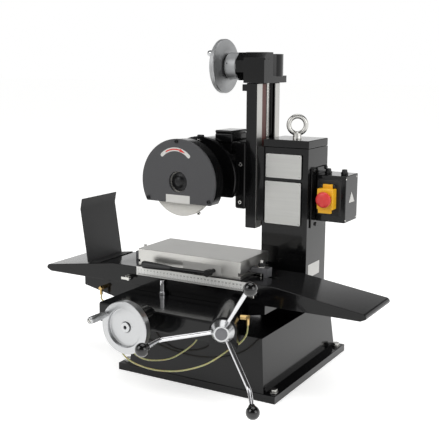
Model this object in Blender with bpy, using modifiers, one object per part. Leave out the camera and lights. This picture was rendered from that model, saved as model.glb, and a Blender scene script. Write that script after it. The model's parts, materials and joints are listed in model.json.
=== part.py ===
"""Small bench surface grinder: base, column, cross saddle, long table and rising wheel head.

Frame: metres, +X to the operator's right, +Y away from the operator, +Z up.  The origin is
the centre of the base's underside.  Sizes below are written in millimetres times MM.
"""

import math

import bmesh
import bpy
from mathutils import Matrix, Vector

MM = 0.001

# ---------------------------------------------------------------- clearances
GAP = 0.3 * MM            # between two pieces that touch
RUN = 0.5 * MM            # around a shaft that turns, or beside a slide
EASE = 2.0 * MM           # around pieces that pass each other

# ---------------------------------------------------------------- driving sizes
BASE_LENGTH = 446 * MM
BASE_DEPTH = 431 * MM
BASE_FLANGE = 18 * MM
BASE_HEIGHT = 145 * MM
BASE_LEDGE = 30 * MM      # flange left free at each side of the sloping body
BASE_SLOPE_SIDE = 15 * MM
BASE_SLOPE_FRONT = 18 * MM
BASE_WALL = 16 * MM
CROSS_TRAVEL_BACK = 6 * MM
WAY_RISE = 21.7 * MM      # height of the cross ways on the deck
WAY_WIDTH = 40 * MM
WAY_SPACING = 160 * MM
FOOT_BOLT = 10 * MM

COLUMN_WIDTH = 128 * MM
COLUMN_DEPTH = 122 * MM
COLUMN_HEIGHT = 421 * MM  # above the deck
COLUMN_WALL = 12 * MM
COLUMN_FRONT = 44 * MM
LID_HEIGHT = 20 * MM

RAM_THICKNESS = 31 * MM
RAM_WIDTH = 130 * MM
RAM_BOTTOM = 353 * MM
RAM_HEIGHT = 373 * MM
WAY_PLATE = 13 * MM       # flat way between the column and the ram
DOVETAIL_MOUTH = 68 * MM
DOVETAIL_DEPTH = 14 * MM
DOVETAIL_FLARE = 8 * MM

SADDLE_LENGTH = 543 * MM
SADDLE_DEPTH = 160 * MM
SADDLE_HEIGHT = 43 * MM
APRON_LENGTH = 325 * MM
APRON_REACH = 143 * MM    # how far it stands in front of the saddle
APRON_HEIGHT = 51 * MM

TABLE_LENGTH = 926 * MM
TABLE_FLAT = 469 * MM     # level middle of the top
TABLE_DEPTH = 162 * MM
TABLE_HEIGHT = 48.7 * MM
TABLE_TIP = 18.5 * MM     # thickness of the two ends
SLOT_MOUTH = 12 * MM
SLOT_HEAD = 20 * MM

CHUCK_LENGTH = 300 * MM
CHUCK_WIDTH = 150 * MM
CHUCK_HEIGHT = 45 * MM
RULE_LENGTH = 321 * MM
RULE_HEIGHT = 22 * MM
RULE_THICKNESS = 2.5 * MM

WHEEL_DIAMETER = 180 * MM
WHEEL_WIDTH = 16 * MM
WHEEL_BORE = 32 * MM
GUARD_RADIUS = 110 * MM
GUARD_DEPTH = 45 * MM
GUARD_DROP = 54 * MM      # from the spindle axis down to the open edge
GUARD_WALL = 4 * MM
SPINDLE_RADIUS = 12 * MM
MOTOR_RADIUS = 104 * MM
MOTOR_DROP = 47 * MM      # from the spindle axis down to the motor's flat underside
MOTOR_FACE = 22 * MM      # front of the motor's flange
MOTOR_REAR = 168 * MM
MOTOR_RIM = 5 * MM        # the flange stands proud of the barrel by this

CROSS_WHEEL_RADIUS = 62.5 * MM
CROSS_X = -86 * MM        # axis and front face of the cross-feed handwheel
CROSS_Z = 177.5 * MM
CROSS_FACE = -376 * MM
CROSS_SHAFT = 8 * MM
CROSS_HUB = 43 * MM       # from the wheel's face back to the boss
CROSS_BOSS = 30 * MM
LIFT_WHEEL_RADIUS = 71 * MM
LIFT_RIM = 13 * MM         # thickness of the top handwheel's rim
LIFT_GRIP_LENGTH = 70 * MM
LIFT_GRIP_BACK = 44 * MM   # place of the top handwheel's grip from its axis
LIFT_GRIP_UP = 34 * MM
CROSS_GRIP_LENGTH = 64 * MM
GRIP_RADIUS = 8 * MM
GRIP_PIN = 4 * MM

CAPSTAN_AXIS = Vector((0.385, -0.923, 0)).normalized()
CAPSTAN_CENTRE = Vector((148 * MM, -330 * MM, 195 * MM))
CAPSTAN_SHAFT = 8 * MM
CAPSTAN_SHAFT_LENGTH = 100 * MM
CAPSTAN_BALL = 15.5 * MM
CAPSTAN_ROD = 5 * MM
PINION_RADIUS = 20 * MM
RACK_HEIGHT = 8 * MM
BOSS_HALF = 31 * MM       # half the width of the capstan's boss

SPLASH_WIDTH = 150 * MM
SPLASH_HEIGHT = 144 * MM  # from its foot to the bend near the top
SPLASH_LEAN = 21 * MM
SPLASH_LIP = 28 * MM
SPLASH_FOOT = 40 * MM
SHEET = 2 * MM

LEVER_X = 12 * MM
LEVER_RISE = 14.7 * MM    # from the chuck's underside up to its lever
LEVER_LENGTH = 192 * MM
LEVER_GRIP = 86 * MM
LEVER_BAR = 4.5 * MM      # radius

BOX_WIDTH = 80 * MM       # switch box
BOX_DEPTH = 82 * MM
BOX_HEIGHT = 119 * MM
BOX_FRONT = 89 * MM
BOX_BOTTOM = 380 * MM
BRACKET = 3 * MM
BEZEL_WIDTH = 62 * MM
BEZEL_HEIGHT = 90 * MM
BEZEL_THICKNESS = 3 * MM
FLAP_WIDTH = 42 * MM
FLAP_HEIGHT = 56 * MM
FLAP_DEPTH = 27 * MM
FLAP_WALL = 2.5 * MM
STOP_RADIUS = 20 * MM
STOP_STEM = 6 * MM
BUTTON_HALF = 8.5 * MM

OIL_TUBE = 2 * MM         # radius
OIL_LEFT_X = -316.2 * MM
OIL_LEFT_Z = 190 * MM
OIL_RIGHT_Z = 205 * MM
# routes of the two oil tubes, which hang between their fittings
OIL_ROUTE_LONG = [
    (0.1618, -0.2376, 0.1877), (0.1618, -0.2376, 0.179), (0.160, -0.242, 0.163), (0.150, -0.253, 0.1465),
    (0.131, -0.268, 0.133), (0.1107, -0.280, 0.115), (0.078, -0.293, 0.093), (0.022, -0.302, 0.0717),
    (-0.036, -0.304, 0.0615), (-0.083, -0.302, 0.0605), (-0.125, -0.296, 0.065), (-0.158, -0.284, 0.074),
    (-0.188, -0.262, 0.088), (-0.218, -0.232, 0.104), (-0.255, -0.198, 0.126), (-0.292, -0.172, 0.148),
    (-0.316, -0.1633, 0.161), (-0.3162, -0.1633, 0.167), (-0.3162, -0.1633, 0.1725)]
OIL_ROUTE_SHORT = [
    (0.040, -0.262, 0.1462), (0.040, -0.262, 0.138), (0.027, -0.265, 0.122), (0.006, -0.272, 0.1042),
    (-0.026, -0.278, 0.0843), (-0.075, -0.282, 0.0725), (-0.110, -0.281, 0.074), (-0.140, -0.275, 0.086),
    (-0.158, -0.266, 0.106), (-0.165, -0.262, 0.128), (-0.166, -0.262, 0.1462)]

# ---------------------------------------------------------------- places worked out from them
DECK = BASE_HEIGHT
DECK_RIGHT = BASE_LENGTH / 2 - BASE_LEDGE - BASE_SLOPE_SIDE
WAY_FRONT = 2 * EASE + BASE_SLOPE_FRONT - BASE_DEPTH / 2
COLUMN_RIGHT = DECK_RIGHT
COLUMN_LEFT = COLUMN_RIGHT - COLUMN_WIDTH
COLUMN_REAR = COLUMN_FRONT + COLUMN_DEPTH
COLUMN_TOP = DECK + COLUMN_HEIGHT
RAM_RIGHT = COLUMN_LEFT - WAY_PLATE - GAP
RAM_LEFT = RAM_RIGHT - RAM_THICKNESS
RAM_REAR = COLUMN_REAR - 1 * MM
RAM_FRONT = RAM_REAR - RAM_WIDTH
RAM_TOP = RAM_BOTTOM + RAM_HEIGHT
RAM_MID = (RAM_FRONT + RAM_REAR) / 2
SADDLE_BOTTOM = DECK + WAY_RISE + GAP
SADDLE_TOP = SADDLE_BOTTOM + SADDLE_HEIGHT
SADDLE_MID = -112.5 * MM
SADDLE_FRONT = -146 * MM
SADDLE_LEFT = SADDLE_MID - SADDLE_LENGTH / 2
SADDLE_RIGHT = SADDLE_MID + SADDLE_LENGTH / 2
APRON_FRONT = SADDLE_FRONT - APRON_REACH
APRON_BOTTOM = DECK + EASE
APRON_TOP = APRON_BOTTOM + APRON_HEIGHT
APRON_LEFT = -227 * MM
APRON_RIGHT = APRON_LEFT + APRON_LENGTH
TABLE_BOTTOM = SADDLE_TOP + GAP
TABLE_TOP = TABLE_BOTTOM + TABLE_HEIGHT
TABLE_FRONT = -151 * MM
TABLE_MIDDLE = -50 * MM
TABLE_LEFT = TABLE_MIDDLE - TABLE_LENGTH / 2
TABLE_RIGHT = TABLE_MIDDLE + TABLE_LENGTH / 2
FLAT_LEFT = TABLE_MIDDLE - TABLE_FLAT / 2
FLAT_RIGHT = TABLE_MIDDLE + TABLE_FLAT / 2
SLOT_MID = TABLE_FRONT + TABLE_DEPTH / 2
CHUCK_MID = TABLE_MIDDLE - 14 * MM
CHUCK_LEFT = CHUCK_MID - CHUCK_LENGTH / 2
CHUCK_RIGHT = CHUCK_MID + CHUCK_LENGTH / 2
CHUCK_FRONT = TABLE_FRONT + 15 * MM
CHUCK_BOTTOM = TABLE_TOP + GAP
LEVER_Z = CHUCK_BOTTOM + LEVER_RISE
CHUCK_TOP = CHUCK_BOTTOM + CHUCK_HEIGHT
SPINDLE_X = RAM_LEFT - 131.6 * MM
SPINDLE_Z = 477 * MM
GUARD_FRONT = -84 * MM
GUARD_REAR = GUARD_FRONT + GUARD_DEPTH
GRIP_X = CROSS_X - 48 * MM
GRIP_Z = CROSS_Z + 26.5 * MM
LIFT_Y = 106 * MM         # axis of the top handwheel
LIFT_SCREW_X = RAM_RIGHT - 8 * MM
LIFT_SCREW_RADIUS = 6 * MM

# ---------------------------------------------------------------- paints and metals
BLACK = ("black_enamel", (0.012, 0.012, 0.013), 0.22, 0.0)
GREY = ("grey_enamel", (0.085, 0.085, 0.087), 0.45, 0.0)
STEEL = ("ground_steel", (0.62, 0.62, 0.60), 0.25, 1.0)
CHROME = ("chrome_plate", (0.75, 0.75, 0.76), 0.08, 1.0)
ALUMINIUM = ("turned_aluminium", (0.66, 0.67, 0.68), 0.35, 1.0)
BRASS = ("brass_fitting", (0.60, 0.40, 0.14), 0.3, 1.0)
YELLOW = ("yellow_plastic", (0.88, 0.47, 0.012), 0.35, 0.0)
RED = ("red_plastic", (0.75, 0.045, 0.045), 0.35, 0.0)
GREEN = ("green_plastic", (0.03, 0.35, 0.08), 0.35, 0.0)
PHENOLIC = ("black_phenolic", (0.01, 0.01, 0.01), 0.08, 0.0)
ABRASIVE = ("white_abrasive", (0.72, 0.71, 0.68), 0.9, 0.0)
NYLON = ("clear_nylon_tube", (0.55, 0.50, 0.22), 0.3, 0.0)


def collection(name):
    group = bpy.data.collections.new(name)
    bpy.context.scene.collection.children.link(group)
    return group


def clear_scene():
    for old in list(bpy.data.objects):
        bpy.data.objects.remove(old, do_unlink=True)


def link(obj, group):
    for old in list(obj.users_collection):
        old.objects.unlink(obj)
    group.objects.link(obj)
    return obj


def new_material(node, finish):
    label, colour, roughness, metallic = finish
    mat = bpy.data.materials.new(node + "_" + label)
    mat.use_nodes = True
    shader = mat.node_tree.nodes["Principled BSDF"]
    shader.inputs["Base Color"].default_value = (*colour, 1.0)
    shader.inputs["Roughness"].default_value = roughness
    shader.inputs["Metallic"].default_value = metallic
    mat.diffuse_color = (*colour, 1.0)
    return mat


def direction(axis):
    """Rotation that turns local Z onto the axis."""
    return Vector(axis).normalized().to_track_quat("Z", "Y").to_matrix().to_4x4()


# ---------------------------------------------------------------- shapes
def box(lo, hi, bevel=0.0, segments=1):
    """Box between two corners."""
    bpy.ops.mesh.primitive_cube_add(size=1)
    obj = bpy.context.object
    size = [b - a for a, b in zip(lo, hi)]
    mid = [(a + b) / 2 for a, b in zip(lo, hi)]
    obj.data.transform(Matrix.Diagonal((*size, 1)))
    obj.location = mid
    if bevel:
        round_edges(obj, bevel, segments)
    return obj


def frustum(lo, hi, top_lo, top_hi):
    """Box whose top rectangle differs from its bottom one."""
    obj = box(lo, hi)
    mid = obj.location.copy()
    for vert in obj.data.vertices:
        if vert.co.z > 0:
            vert.co.x = (top_hi[0] if vert.co.x > 0 else top_lo[0]) - mid.x
            vert.co.y = (top_hi[1] if vert.co.y > 0 else top_lo[1]) - mid.y
    return obj


def rod(start, end, radius, sides=20, radius_end=None):
    """Cylinder or cone between two points."""
    start, end = Vector(start), Vector(end)
    mesh = bpy.data.meshes.new("rod")
    bm = bmesh.new()
    bmesh.ops.create_cone(
        bm, cap_ends=True, segments=sides, radius1=radius,
        radius2=radius if radius_end is None else radius_end, depth=(end - start).length)
    bm.to_mesh(mesh)
    bm.free()
    obj = bpy.data.objects.new("rod", mesh)
    bpy.context.scene.collection.objects.link(obj)
    obj.matrix_world = Matrix.Translation((start + end) / 2) @ direction(end - start)
    return smooth(obj)


def ball(centre, radius, segments=20, rings=12):
    mesh = bpy.data.meshes.new("ball")
    bm = bmesh.new()
    bmesh.ops.create_uvsphere(bm, u_segments=segments, v_segments=rings, radius=radius)
    bm.to_mesh(mesh)
    bm.free()
    obj = bpy.data.objects.new("ball", mesh)
    bpy.context.scene.collection.objects.link(obj)
    obj.location = centre
    return smooth(obj)


def turned(profile, origin, axis, steps=32):
    """Turned piece: profile of (radius, height) from its top end down its outer side."""
    mesh = bpy.data.meshes.new("turned")
    verts = [(r, 0.0, h) for r, h in profile]
    mesh.from_pydata(verts, [(i, i + 1) for i in range(len(verts) - 1)], [])
    obj = bpy.data.objects.new("turned", mesh)
    bpy.context.scene.collection.objects.link(obj)
    screw = obj.modifiers.new("Turn", "SCREW")
    screw.steps = steps
    screw.render_steps = steps
    screw.use_merge_vertices = True
    screw.merge_threshold = 0.00002
    screw.use_smooth_shade = False
    obj.matrix_world = Matrix.Translation(Vector(origin)) @ direction(axis)
    return obj


def plate(outline, axis, lo, hi, frame=None):
    """Flat outline extruded along an axis: (x, y) along Z, (y, z) along X or (x, z) along Y."""
    curve = bpy.data.curves.new("outline", "CURVE")
    curve.dimensions = "2D"
    curve.fill_mode = "BOTH"
    curve.extrude = (hi - lo) / 2
    spline = curve.splines.new("POLY")
    spline.points.add(len(outline) - 1)
    for point, (u, v) in zip(spline.points, outline):
        point.co = (u, v, 0, 1)
    spline.use_cyclic_u = True
    turn = {
        "X": Matrix(((0, 0, 1, 0), (1, 0, 0, 0), (0, 1, 0, 0), (0, 0, 0, 1))),
        "Y": Matrix(((1, 0, 0, 0), (0, 0, -1, 0), (0, 1, 0, 0), (0, 0, 0, 1))),
        "Z": Matrix.Identity(4),
    }[axis]
    mid = (lo + hi) / 2
    shift = Matrix.Translation((0, 0, -mid if axis == "Y" else mid))
    return solid(curve, (frame or Matrix.Identity(4)) @ turn @ shift)


def tube(points, radius, resolution=2, bevel=3):
    """Round bar or tube along a smooth line of points."""
    curve = bpy.data.curves.new("tube", "CURVE")
    curve.dimensions = "3D"
    curve.bevel_depth = radius
    curve.bevel_resolution = resolution
    curve.use_fill_caps = True
    spline = curve.splines.new("POLY")
    spline.points.add(len(points) - 1)
    for point, place in zip(spline.points, points):
        point.co = (*place, 1)
    return smooth(solid(curve, Matrix.Identity(4)))


def solid(curve, matrix):
    """Closed mesh object from a curve, its caps welded."""
    guide = bpy.data.objects.new("guide", curve)
    bpy.context.scene.collection.objects.link(guide)
    guide.matrix_world = matrix
    bpy.context.view_layer.update()
    evaluated = guide.evaluated_get(bpy.context.evaluated_depsgraph_get())
    mesh = bpy.data.meshes.new_from_object(evaluated)
    bm = bmesh.new()
    bm.from_mesh(mesh)
    bmesh.ops.remove_doubles(bm, verts=bm.verts, dist=0.00001)
    bmesh.ops.recalc_face_normals(bm, faces=bm.faces)
    bm.to_mesh(mesh)
    bm.free()
    obj = bpy.data.objects.new("solid", mesh)
    bpy.context.scene.collection.objects.link(obj)
    obj.matrix_world = matrix
    bpy.data.objects.remove(guide, do_unlink=True)
    return obj


def smooth(obj):
    obj.data.shade_smooth()
    obj.data.set_sharp_from_angle(angle=math.radians(35))
    return obj


def round_edges(obj, width, segments=1, angle=30):
    mod = obj.modifiers.new("Edges", "BEVEL")
    mod.width = width
    mod.segments = segments
    mod.limit_method = "ANGLE"
    mod.angle_limit = math.radians(angle)
    return obj


def boolean(obj, others, operation):
    for other in others:
        link(other, TOOLS)
        other.name = "tool_" + operation.lower()
        other.hide_render = True
        other.display_type = "WIRE"
        mod = obj.modifiers.new(operation.title(), "BOOLEAN")
        mod.operation = operation
        mod.solver = "EXACT"
        mod.object = other
    return obj


def cut(obj, *others):
    return boolean(obj, others, "DIFFERENCE")


def join(obj, *others):
    return boolean(obj, others, "UNION")


def arc(centre, radius, start, end, steps):
    """Points on an arc in a plane, angles in degrees."""
    turns = [math.radians(start + (end - start) * i / steps) for i in range(steps + 1)]
    return [(centre[0] + radius * math.cos(t), centre[1] + radius * math.sin(t)) for t in turns]


def smooth_route(points, steps):
    """Catmull-Rom line through the points."""
    path = [Vector(p) for p in points]
    path = [2 * path[0] - path[1]] + path + [2 * path[-1] - path[-2]]
    line = []
    for a, b, c, d in zip(path, path[1:], path[2:], path[3:]):
        for i in range(steps):
            t = i / steps
            line.append(0.5 * (2 * b + (c - a) * t + (2 * a - 5 * b + 4 * c - d) * t * t
                               + (3 * b - 3 * c + d - a) * t ** 3))
    return line + [path[-2]]


def node(name, obj, finish, body):
    """Names a finished piece and hangs it on its body's empty."""
    link(obj, PARTS)
    obj.name = name
    obj.data.name = name
    obj.data.materials.clear()
    obj.data.materials.append(new_material(name, finish))
    pivot = BODIES[body]
    if pivot is not None:
        obj.parent = pivot
        obj.matrix_parent_inverse = Matrix.Translation(-pivot.location)
    return obj


def body(name, place):
    """Empty on the joint axis that carries the pieces of one moving body."""
    pivot = bpy.data.objects.new("axis_" + name, None)
    pivot.empty_display_size = 0.02
    pivot.location = place
    PARTS.objects.link(pivot)
    BODIES[name] = pivot


# ---------------------------------------------------------------- base and column
def ways(front, back, ease, top):
    """The two cross ways on the deck, or with some ease the room for them."""
    for side in (-1, 1):
        mid = side * WAY_SPACING / 2 - WAY_SPACING / 2
        half = WAY_WIDTH / 2 + ease
        yield box((mid - half, front, DECK - BASE_WALL / 2), (mid + half, back, top))


def build_base():
    half_x, half_y = BASE_LENGTH / 2, BASE_DEPTH / 2
    foot_x, foot_y = half_x - BASE_LEDGE, half_y - 2 * MM
    top_front = -foot_y + BASE_SLOPE_FRONT
    base = box((-half_x, -half_y, 0), (half_x, half_y, BASE_FLANGE))
    shell = frustum((-foot_x, -foot_y, BASE_FLANGE / 2), (foot_x, foot_y, DECK),
                    (-DECK_RIGHT, top_front), (DECK_RIGHT, foot_y - BASE_SLOPE_FRONT / 2))
    join(base, shell)
    join(base, *ways(WAY_FRONT, COLUMN_FRONT - EASE, 0, DECK + WAY_RISE))
    # four pockets from below leave a cross of ribs through the middle
    rib = BASE_WALL / 2
    roof = DECK - BASE_WALL
    lean = 1 - BASE_SLOPE_SIDE / foot_x
    for sx in (-1, 1):
        for sy in (-1, 1):
            near_x, near_y = sx * rib, sy * rib
            far_x, far_y = sx * (foot_x - BASE_WALL), sy * (foot_y - BASE_WALL)
            top_y = sy * (abs(top_front) - BASE_WALL)
            xs, ys = sorted((near_x, far_x)), sorted((near_y, far_y))
            top_xs, top_ys = sorted((near_x, far_x * lean)), sorted((near_y, top_y))
            cut(base, frustum((xs[0], ys[0], -EASE), (xs[1], ys[1], roof),
                              (top_xs[0], top_ys[0]), (top_xs[1], top_ys[1])))
    bolt_x = half_x - BASE_LEDGE / 2
    bolt_y = half_y - 24 * MM
    for label, sx, sy in (("front_left", -1, -1), ("front_right", 1, -1),
                          ("rear_left", -1, 1), ("rear_right", 1, 1)):
        x, y = sx * bolt_x, sy * bolt_y
        cut(base, rod((x, y, -EASE), (x, y, BASE_FLANGE + EASE), FOOT_BOLT / 2 + RUN, 12))
        seat = BASE_FLANGE + GAP
        bolt = rod((x, y, EASE), (x, y, seat + 3 * MM), FOOT_BOLT / 2, 12)
        join(bolt, rod((x, y, seat), (x, y, seat + 2 * MM), FOOT_BOLT * 1.05, 16))
        join(bolt, rod((x, y, seat + 1 * MM), (x, y, seat + 9 * MM), FOOT_BOLT * 0.92, 6))
        node("foot_bolt_" + label, bolt, STEEL, "root")
    node("base_casting", base, BLACK, "root")


def dovetail(ease):
    """Outline (x, y) of the column's dovetail tongue, or with some ease of the ram's groove."""
    root_x, tip_x = RAM_RIGHT + 1 * MM, RAM_RIGHT - DOVETAIL_DEPTH - ease
    slope = DOVETAIL_FLARE / DOVETAIL_DEPTH
    half = DOVETAIL_MOUTH / 2 + ease - slope * 1 * MM
    wide = half + slope * (root_x - tip_x)
    return [(root_x, RAM_MID - half), (tip_x, RAM_MID - wide),
            (tip_x, RAM_MID + wide), (root_x, RAM_MID + half)]


def build_column():
    column = box((COLUMN_LEFT, COLUMN_FRONT, DECK + GAP), (COLUMN_RIGHT, COLUMN_REAR, COLUMN_TOP))
    way_bottom = RAM_BOTTOM + 22 * MM
    join(column, box((COLUMN_LEFT - WAY_PLATE, RAM_FRONT + 5 * MM, way_bottom),
                     (COLUMN_LEFT + COLUMN_WALL / 2, RAM_REAR, COLUMN_TOP)))
    join(column, plate(dovetail(0), "Z", way_bottom, COLUMN_TOP))
    wall = COLUMN_WALL
    cut(column, box((COLUMN_LEFT + wall, COLUMN_FRONT + wall, DECK - EASE),
                    (COLUMN_RIGHT - wall, COLUMN_REAR - wall, COLUMN_TOP + EASE)))
    # slot for the lifting screw down the middle of the tongue
    half = LIFT_SCREW_RADIUS + 6 * MM
    cut(column, box((RAM_LEFT, LIFT_Y - half, way_bottom - EASE),
                    (COLUMN_LEFT - 3 * MM, LIFT_Y + half, COLUMN_TOP + EASE)))
    node("column_casting", column, BLACK, "root")

    lid = box((COLUMN_LEFT + 2 * MM, COLUMN_FRONT, COLUMN_TOP + GAP),
              (COLUMN_RIGHT, COLUMN_REAR, COLUMN_TOP + GAP + LID_HEIGHT), 2 * MM, 2)
    eye_x, eye_y = (COLUMN_LEFT + COLUMN_RIGHT) / 2 + 4 * MM, COLUMN_REAR - COLUMN_DEPTH / 2
    eye_radius = 4 * MM
    cut(lid, rod((eye_x, eye_y, COLUMN_TOP + 6 * MM), (eye_x, eye_y, COLUMN_TOP + 40 * MM),
                 eye_radius + RUN, 12))
    node("column_lid", lid, BLACK, "root")

    seat = COLUMN_TOP + GAP + LID_HEIGHT + GAP
    ring_radius, bar = 21 * MM, 6 * MM
    bpy.ops.mesh.primitive_torus_add(
        major_radius=ring_radius, minor_radius=bar, major_segments=28, minor_segments=10)
    eye = bpy.context.object
    eye.data.transform(Matrix.Rotation(math.radians(90), 4, "X"))
    eye.data.transform(Matrix.Rotation(math.radians(30), 4, "Z"))
    eye.location = (eye_x, eye_y, seat + 9 * MM + ring_radius)
    smooth(eye)
    join(eye, rod((eye_x, eye_y, seat), (eye_x, eye_y, seat + 11 * MM), 12 * MM, 24, 9 * MM))
    join(eye, rod((eye_x, eye_y, seat - 12 * MM), (eye_x, eye_y, seat + 3 * MM), eye_radius, 12))
    node("eyebolt", eye, CHROME, "root")

    nut_mid = COLUMN_TOP - 40 * MM
    nut_half = 14 * MM
    side = LIFT_SCREW_RADIUS + 6 * MM - GAP
    nut = box((LIFT_SCREW_X - 10 * MM, LIFT_Y - side, nut_mid - nut_half),
              (COLUMN_LEFT - 3 * MM - GAP, LIFT_Y + side, nut_mid + nut_half))
    cut(nut, rod((LIFT_SCREW_X, LIFT_Y, nut_mid - 2 * nut_half),
                 (LIFT_SCREW_X, LIFT_Y, nut_mid + 2 * nut_half), LIFT_SCREW_RADIUS + RUN, 16))
    node("lift_nut", nut, BRASS, "root")


# ---------------------------------------------------------------- switch

def build_switch():
    left = COLUMN_RIGHT + GAP + BRACKET + GAP
    right = left + BOX_WIDTH
    bottom, top = BOX_BOTTOM, BOX_BOTTOM + BOX_HEIGHT
    bracket = box((COLUMN_RIGHT + GAP, BOX_FRONT - 28 * MM, bottom - 16 * MM),
                  (COLUMN_RIGHT + GAP + BRACKET, BOX_FRONT + 70 * MM, top + 18 * MM))
    for y, z in ((BOX_FRONT - 18 * MM, top + 12 * MM), (BOX_FRONT + 60 * MM, top + 12 * MM),
                 (BOX_FRONT, bottom - 9 * MM)):
        join(bracket, rod((COLUMN_RIGHT + BRACKET, y, z), (COLUMN_RIGHT + BRACKET + 4 * MM, y, z),
                          5 * MM, 10))
    node("switch_bracket", bracket, BLACK, "root")

    mid_x, mid_z = left + BOX_WIDTH / 2 - 4 * MM, bottom + BOX_HEIGHT / 2 + 4 * MM
    face = BOX_FRONT - BEZEL_THICKNESS
    case = box((left, BOX_FRONT, bottom), (right, BOX_FRONT + BOX_DEPTH, top), 1.5 * MM)
    join(case, box((mid_x - BEZEL_WIDTH / 2, face, mid_z - BEZEL_HEIGHT / 2),
                   (mid_x + BEZEL_WIDTH / 2, BOX_FRONT + 2 * MM, mid_z + BEZEL_HEIGHT / 2)))
    # wells for the two push buttons, and the eyes of the flap's hinge
    well = BUTTON_HALF + RUN
    start_z, stop_z = mid_z + 12 * MM, mid_z - 11 * MM
    for z in (start_z, stop_z):
        cut(case, box((mid_x - well, face - EASE, z - well),
                      (mid_x + well, BOX_FRONT + 10 * MM, z + well)))
    hinge_z = mid_z + FLAP_HEIGHT / 2 + 2 * MM
    hinge_y = face - 5 * MM
    for side in (-1, 1):
        x = mid_x + side * (FLAP_WIDTH / 2 - 4 * MM)
        join(case, box((x - 3 * MM, hinge_y - 4 * MM, hinge_z - 4 * MM),
                       (x + 3 * MM, face + 1 * MM, hinge_z + 4 * MM)))
    node("switch_box", case, BLACK, "root")

    for label, offset in (("left", 18 * MM), ("right", 62 * MM)):
        x, y = left + offset, BOX_FRONT + 34 * MM
        gland = rod((x, y, top + GAP), (x, y, top + 6 * MM), 9.5 * MM, 6)
        join(gland, rod((x, y, top + 3 * MM), (x, y, top + 13 * MM), 8 * MM, 16, 6.5 * MM))
        node("cable_gland_" + label, gland, PHENOLIC, "root")

    knob_z = mid_z - 2 * MM
    body("flap", (mid_x, hinge_y, hinge_z))
    body("stop_knob", (mid_x, face - FLAP_DEPTH, knob_z))
    body("start_key", (mid_x, face, start_z))
    body("stop_key", (mid_x, face, stop_z))
    shell_front = face - FLAP_DEPTH
    left_side, right_side = mid_x - FLAP_WIDTH / 2, mid_x + FLAP_WIDTH / 2
    low, high = mid_z - FLAP_HEIGHT / 2, mid_z + FLAP_HEIGHT / 2 - 4 * MM
    flap = box((left_side, shell_front, low), (right_side, face - GAP, high), 1.5 * MM)
    cut(flap, box((left_side + FLAP_WALL, shell_front + FLAP_WALL, low + FLAP_WALL),
                  (right_side - FLAP_WALL, face + EASE, high - FLAP_WALL)))
    arm = FLAP_WIDTH / 2 - 8 * MM
    join(flap, box((mid_x - arm, hinge_y - 4 * MM, high - 1 * MM),
                   (mid_x + arm, hinge_y + 2.5 * MM, hinge_z + 4 * MM)))
    join(flap, box((mid_x - 17 * MM, shell_front, low - 9 * MM),
                   (mid_x + 17 * MM, shell_front + 8 * MM, low + 1 * MM)))
    cut(flap, rod((mid_x, shell_front - EASE, knob_z), (mid_x, shell_front + 2 * FLAP_WALL, knob_z),
                  STOP_STEM + RUN, 16))
    node("switch_flap", flap, YELLOW, "flap")

    knob = turned([(0, 16 * MM), (12 * MM, 15 * MM), (STOP_RADIUS - 2 * MM, 13 * MM),
                   (STOP_RADIUS, 9 * MM), (STOP_RADIUS, 6 * MM), (STOP_STEM, 6 * MM),
                   (STOP_STEM, -7 * MM), (0, -7 * MM)],
                  (mid_x, shell_front, knob_z), (0, -1, 0), 28)
    node("emergency_stop_knob", knob, RED, "stop_knob")
    for name, z, finish, where in (("start_button", start_z, GREEN, "start_key"),
                                   ("stop_button", stop_z, RED, "stop_key")):
        key = box((mid_x - BUTTON_HALF, face - 3 * MM, z - BUTTON_HALF),
                  (mid_x + BUTTON_HALF, BOX_FRONT + 2.5 * MM, z + BUTTON_HALF), 1 * MM)
        node(name, key, finish, where)


# ---------------------------------------------------------------- saddle and cross feed

def capstan_frame():
    """Local X to the right, Y up and Z along the capstan's axis towards the operator."""
    side = Vector((0, 0, 1)).cross(CAPSTAN_AXIS).normalized()
    rise = CAPSTAN_AXIS.cross(side)
    turn = Matrix((side, rise, CAPSTAN_AXIS)).transposed().to_4x4()
    return Matrix.Translation(CAPSTAN_CENTRE) @ turn


def along_capstan(distance):
    return CAPSTAN_CENTRE + CAPSTAN_AXIS * distance


def pinion_distance():
    """Distance back along the capstan's axis to the middle of the table."""
    return (SLOT_MID - CAPSTAN_CENTRE.y) / CAPSTAN_AXIS.y


def oil_elbow(label, place, out):
    """Brass elbow screwed into a face, its outlet pointing down."""
    place, out = Vector(place), Vector(out)
    turn = place + out * 17 * MM
    elbow = rod(place, turn - out * 3 * MM, 6 * MM, 6)
    join(elbow, rod(turn - out * 5 * MM, turn + out * 5 * MM, 6.2 * MM, 4))
    join(elbow, rod(turn, turn - Vector((0, 0, 17 * MM)), 4 * MM, 12))
    node("oil_elbow_" + label, elbow, BRASS, "saddle")


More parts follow.
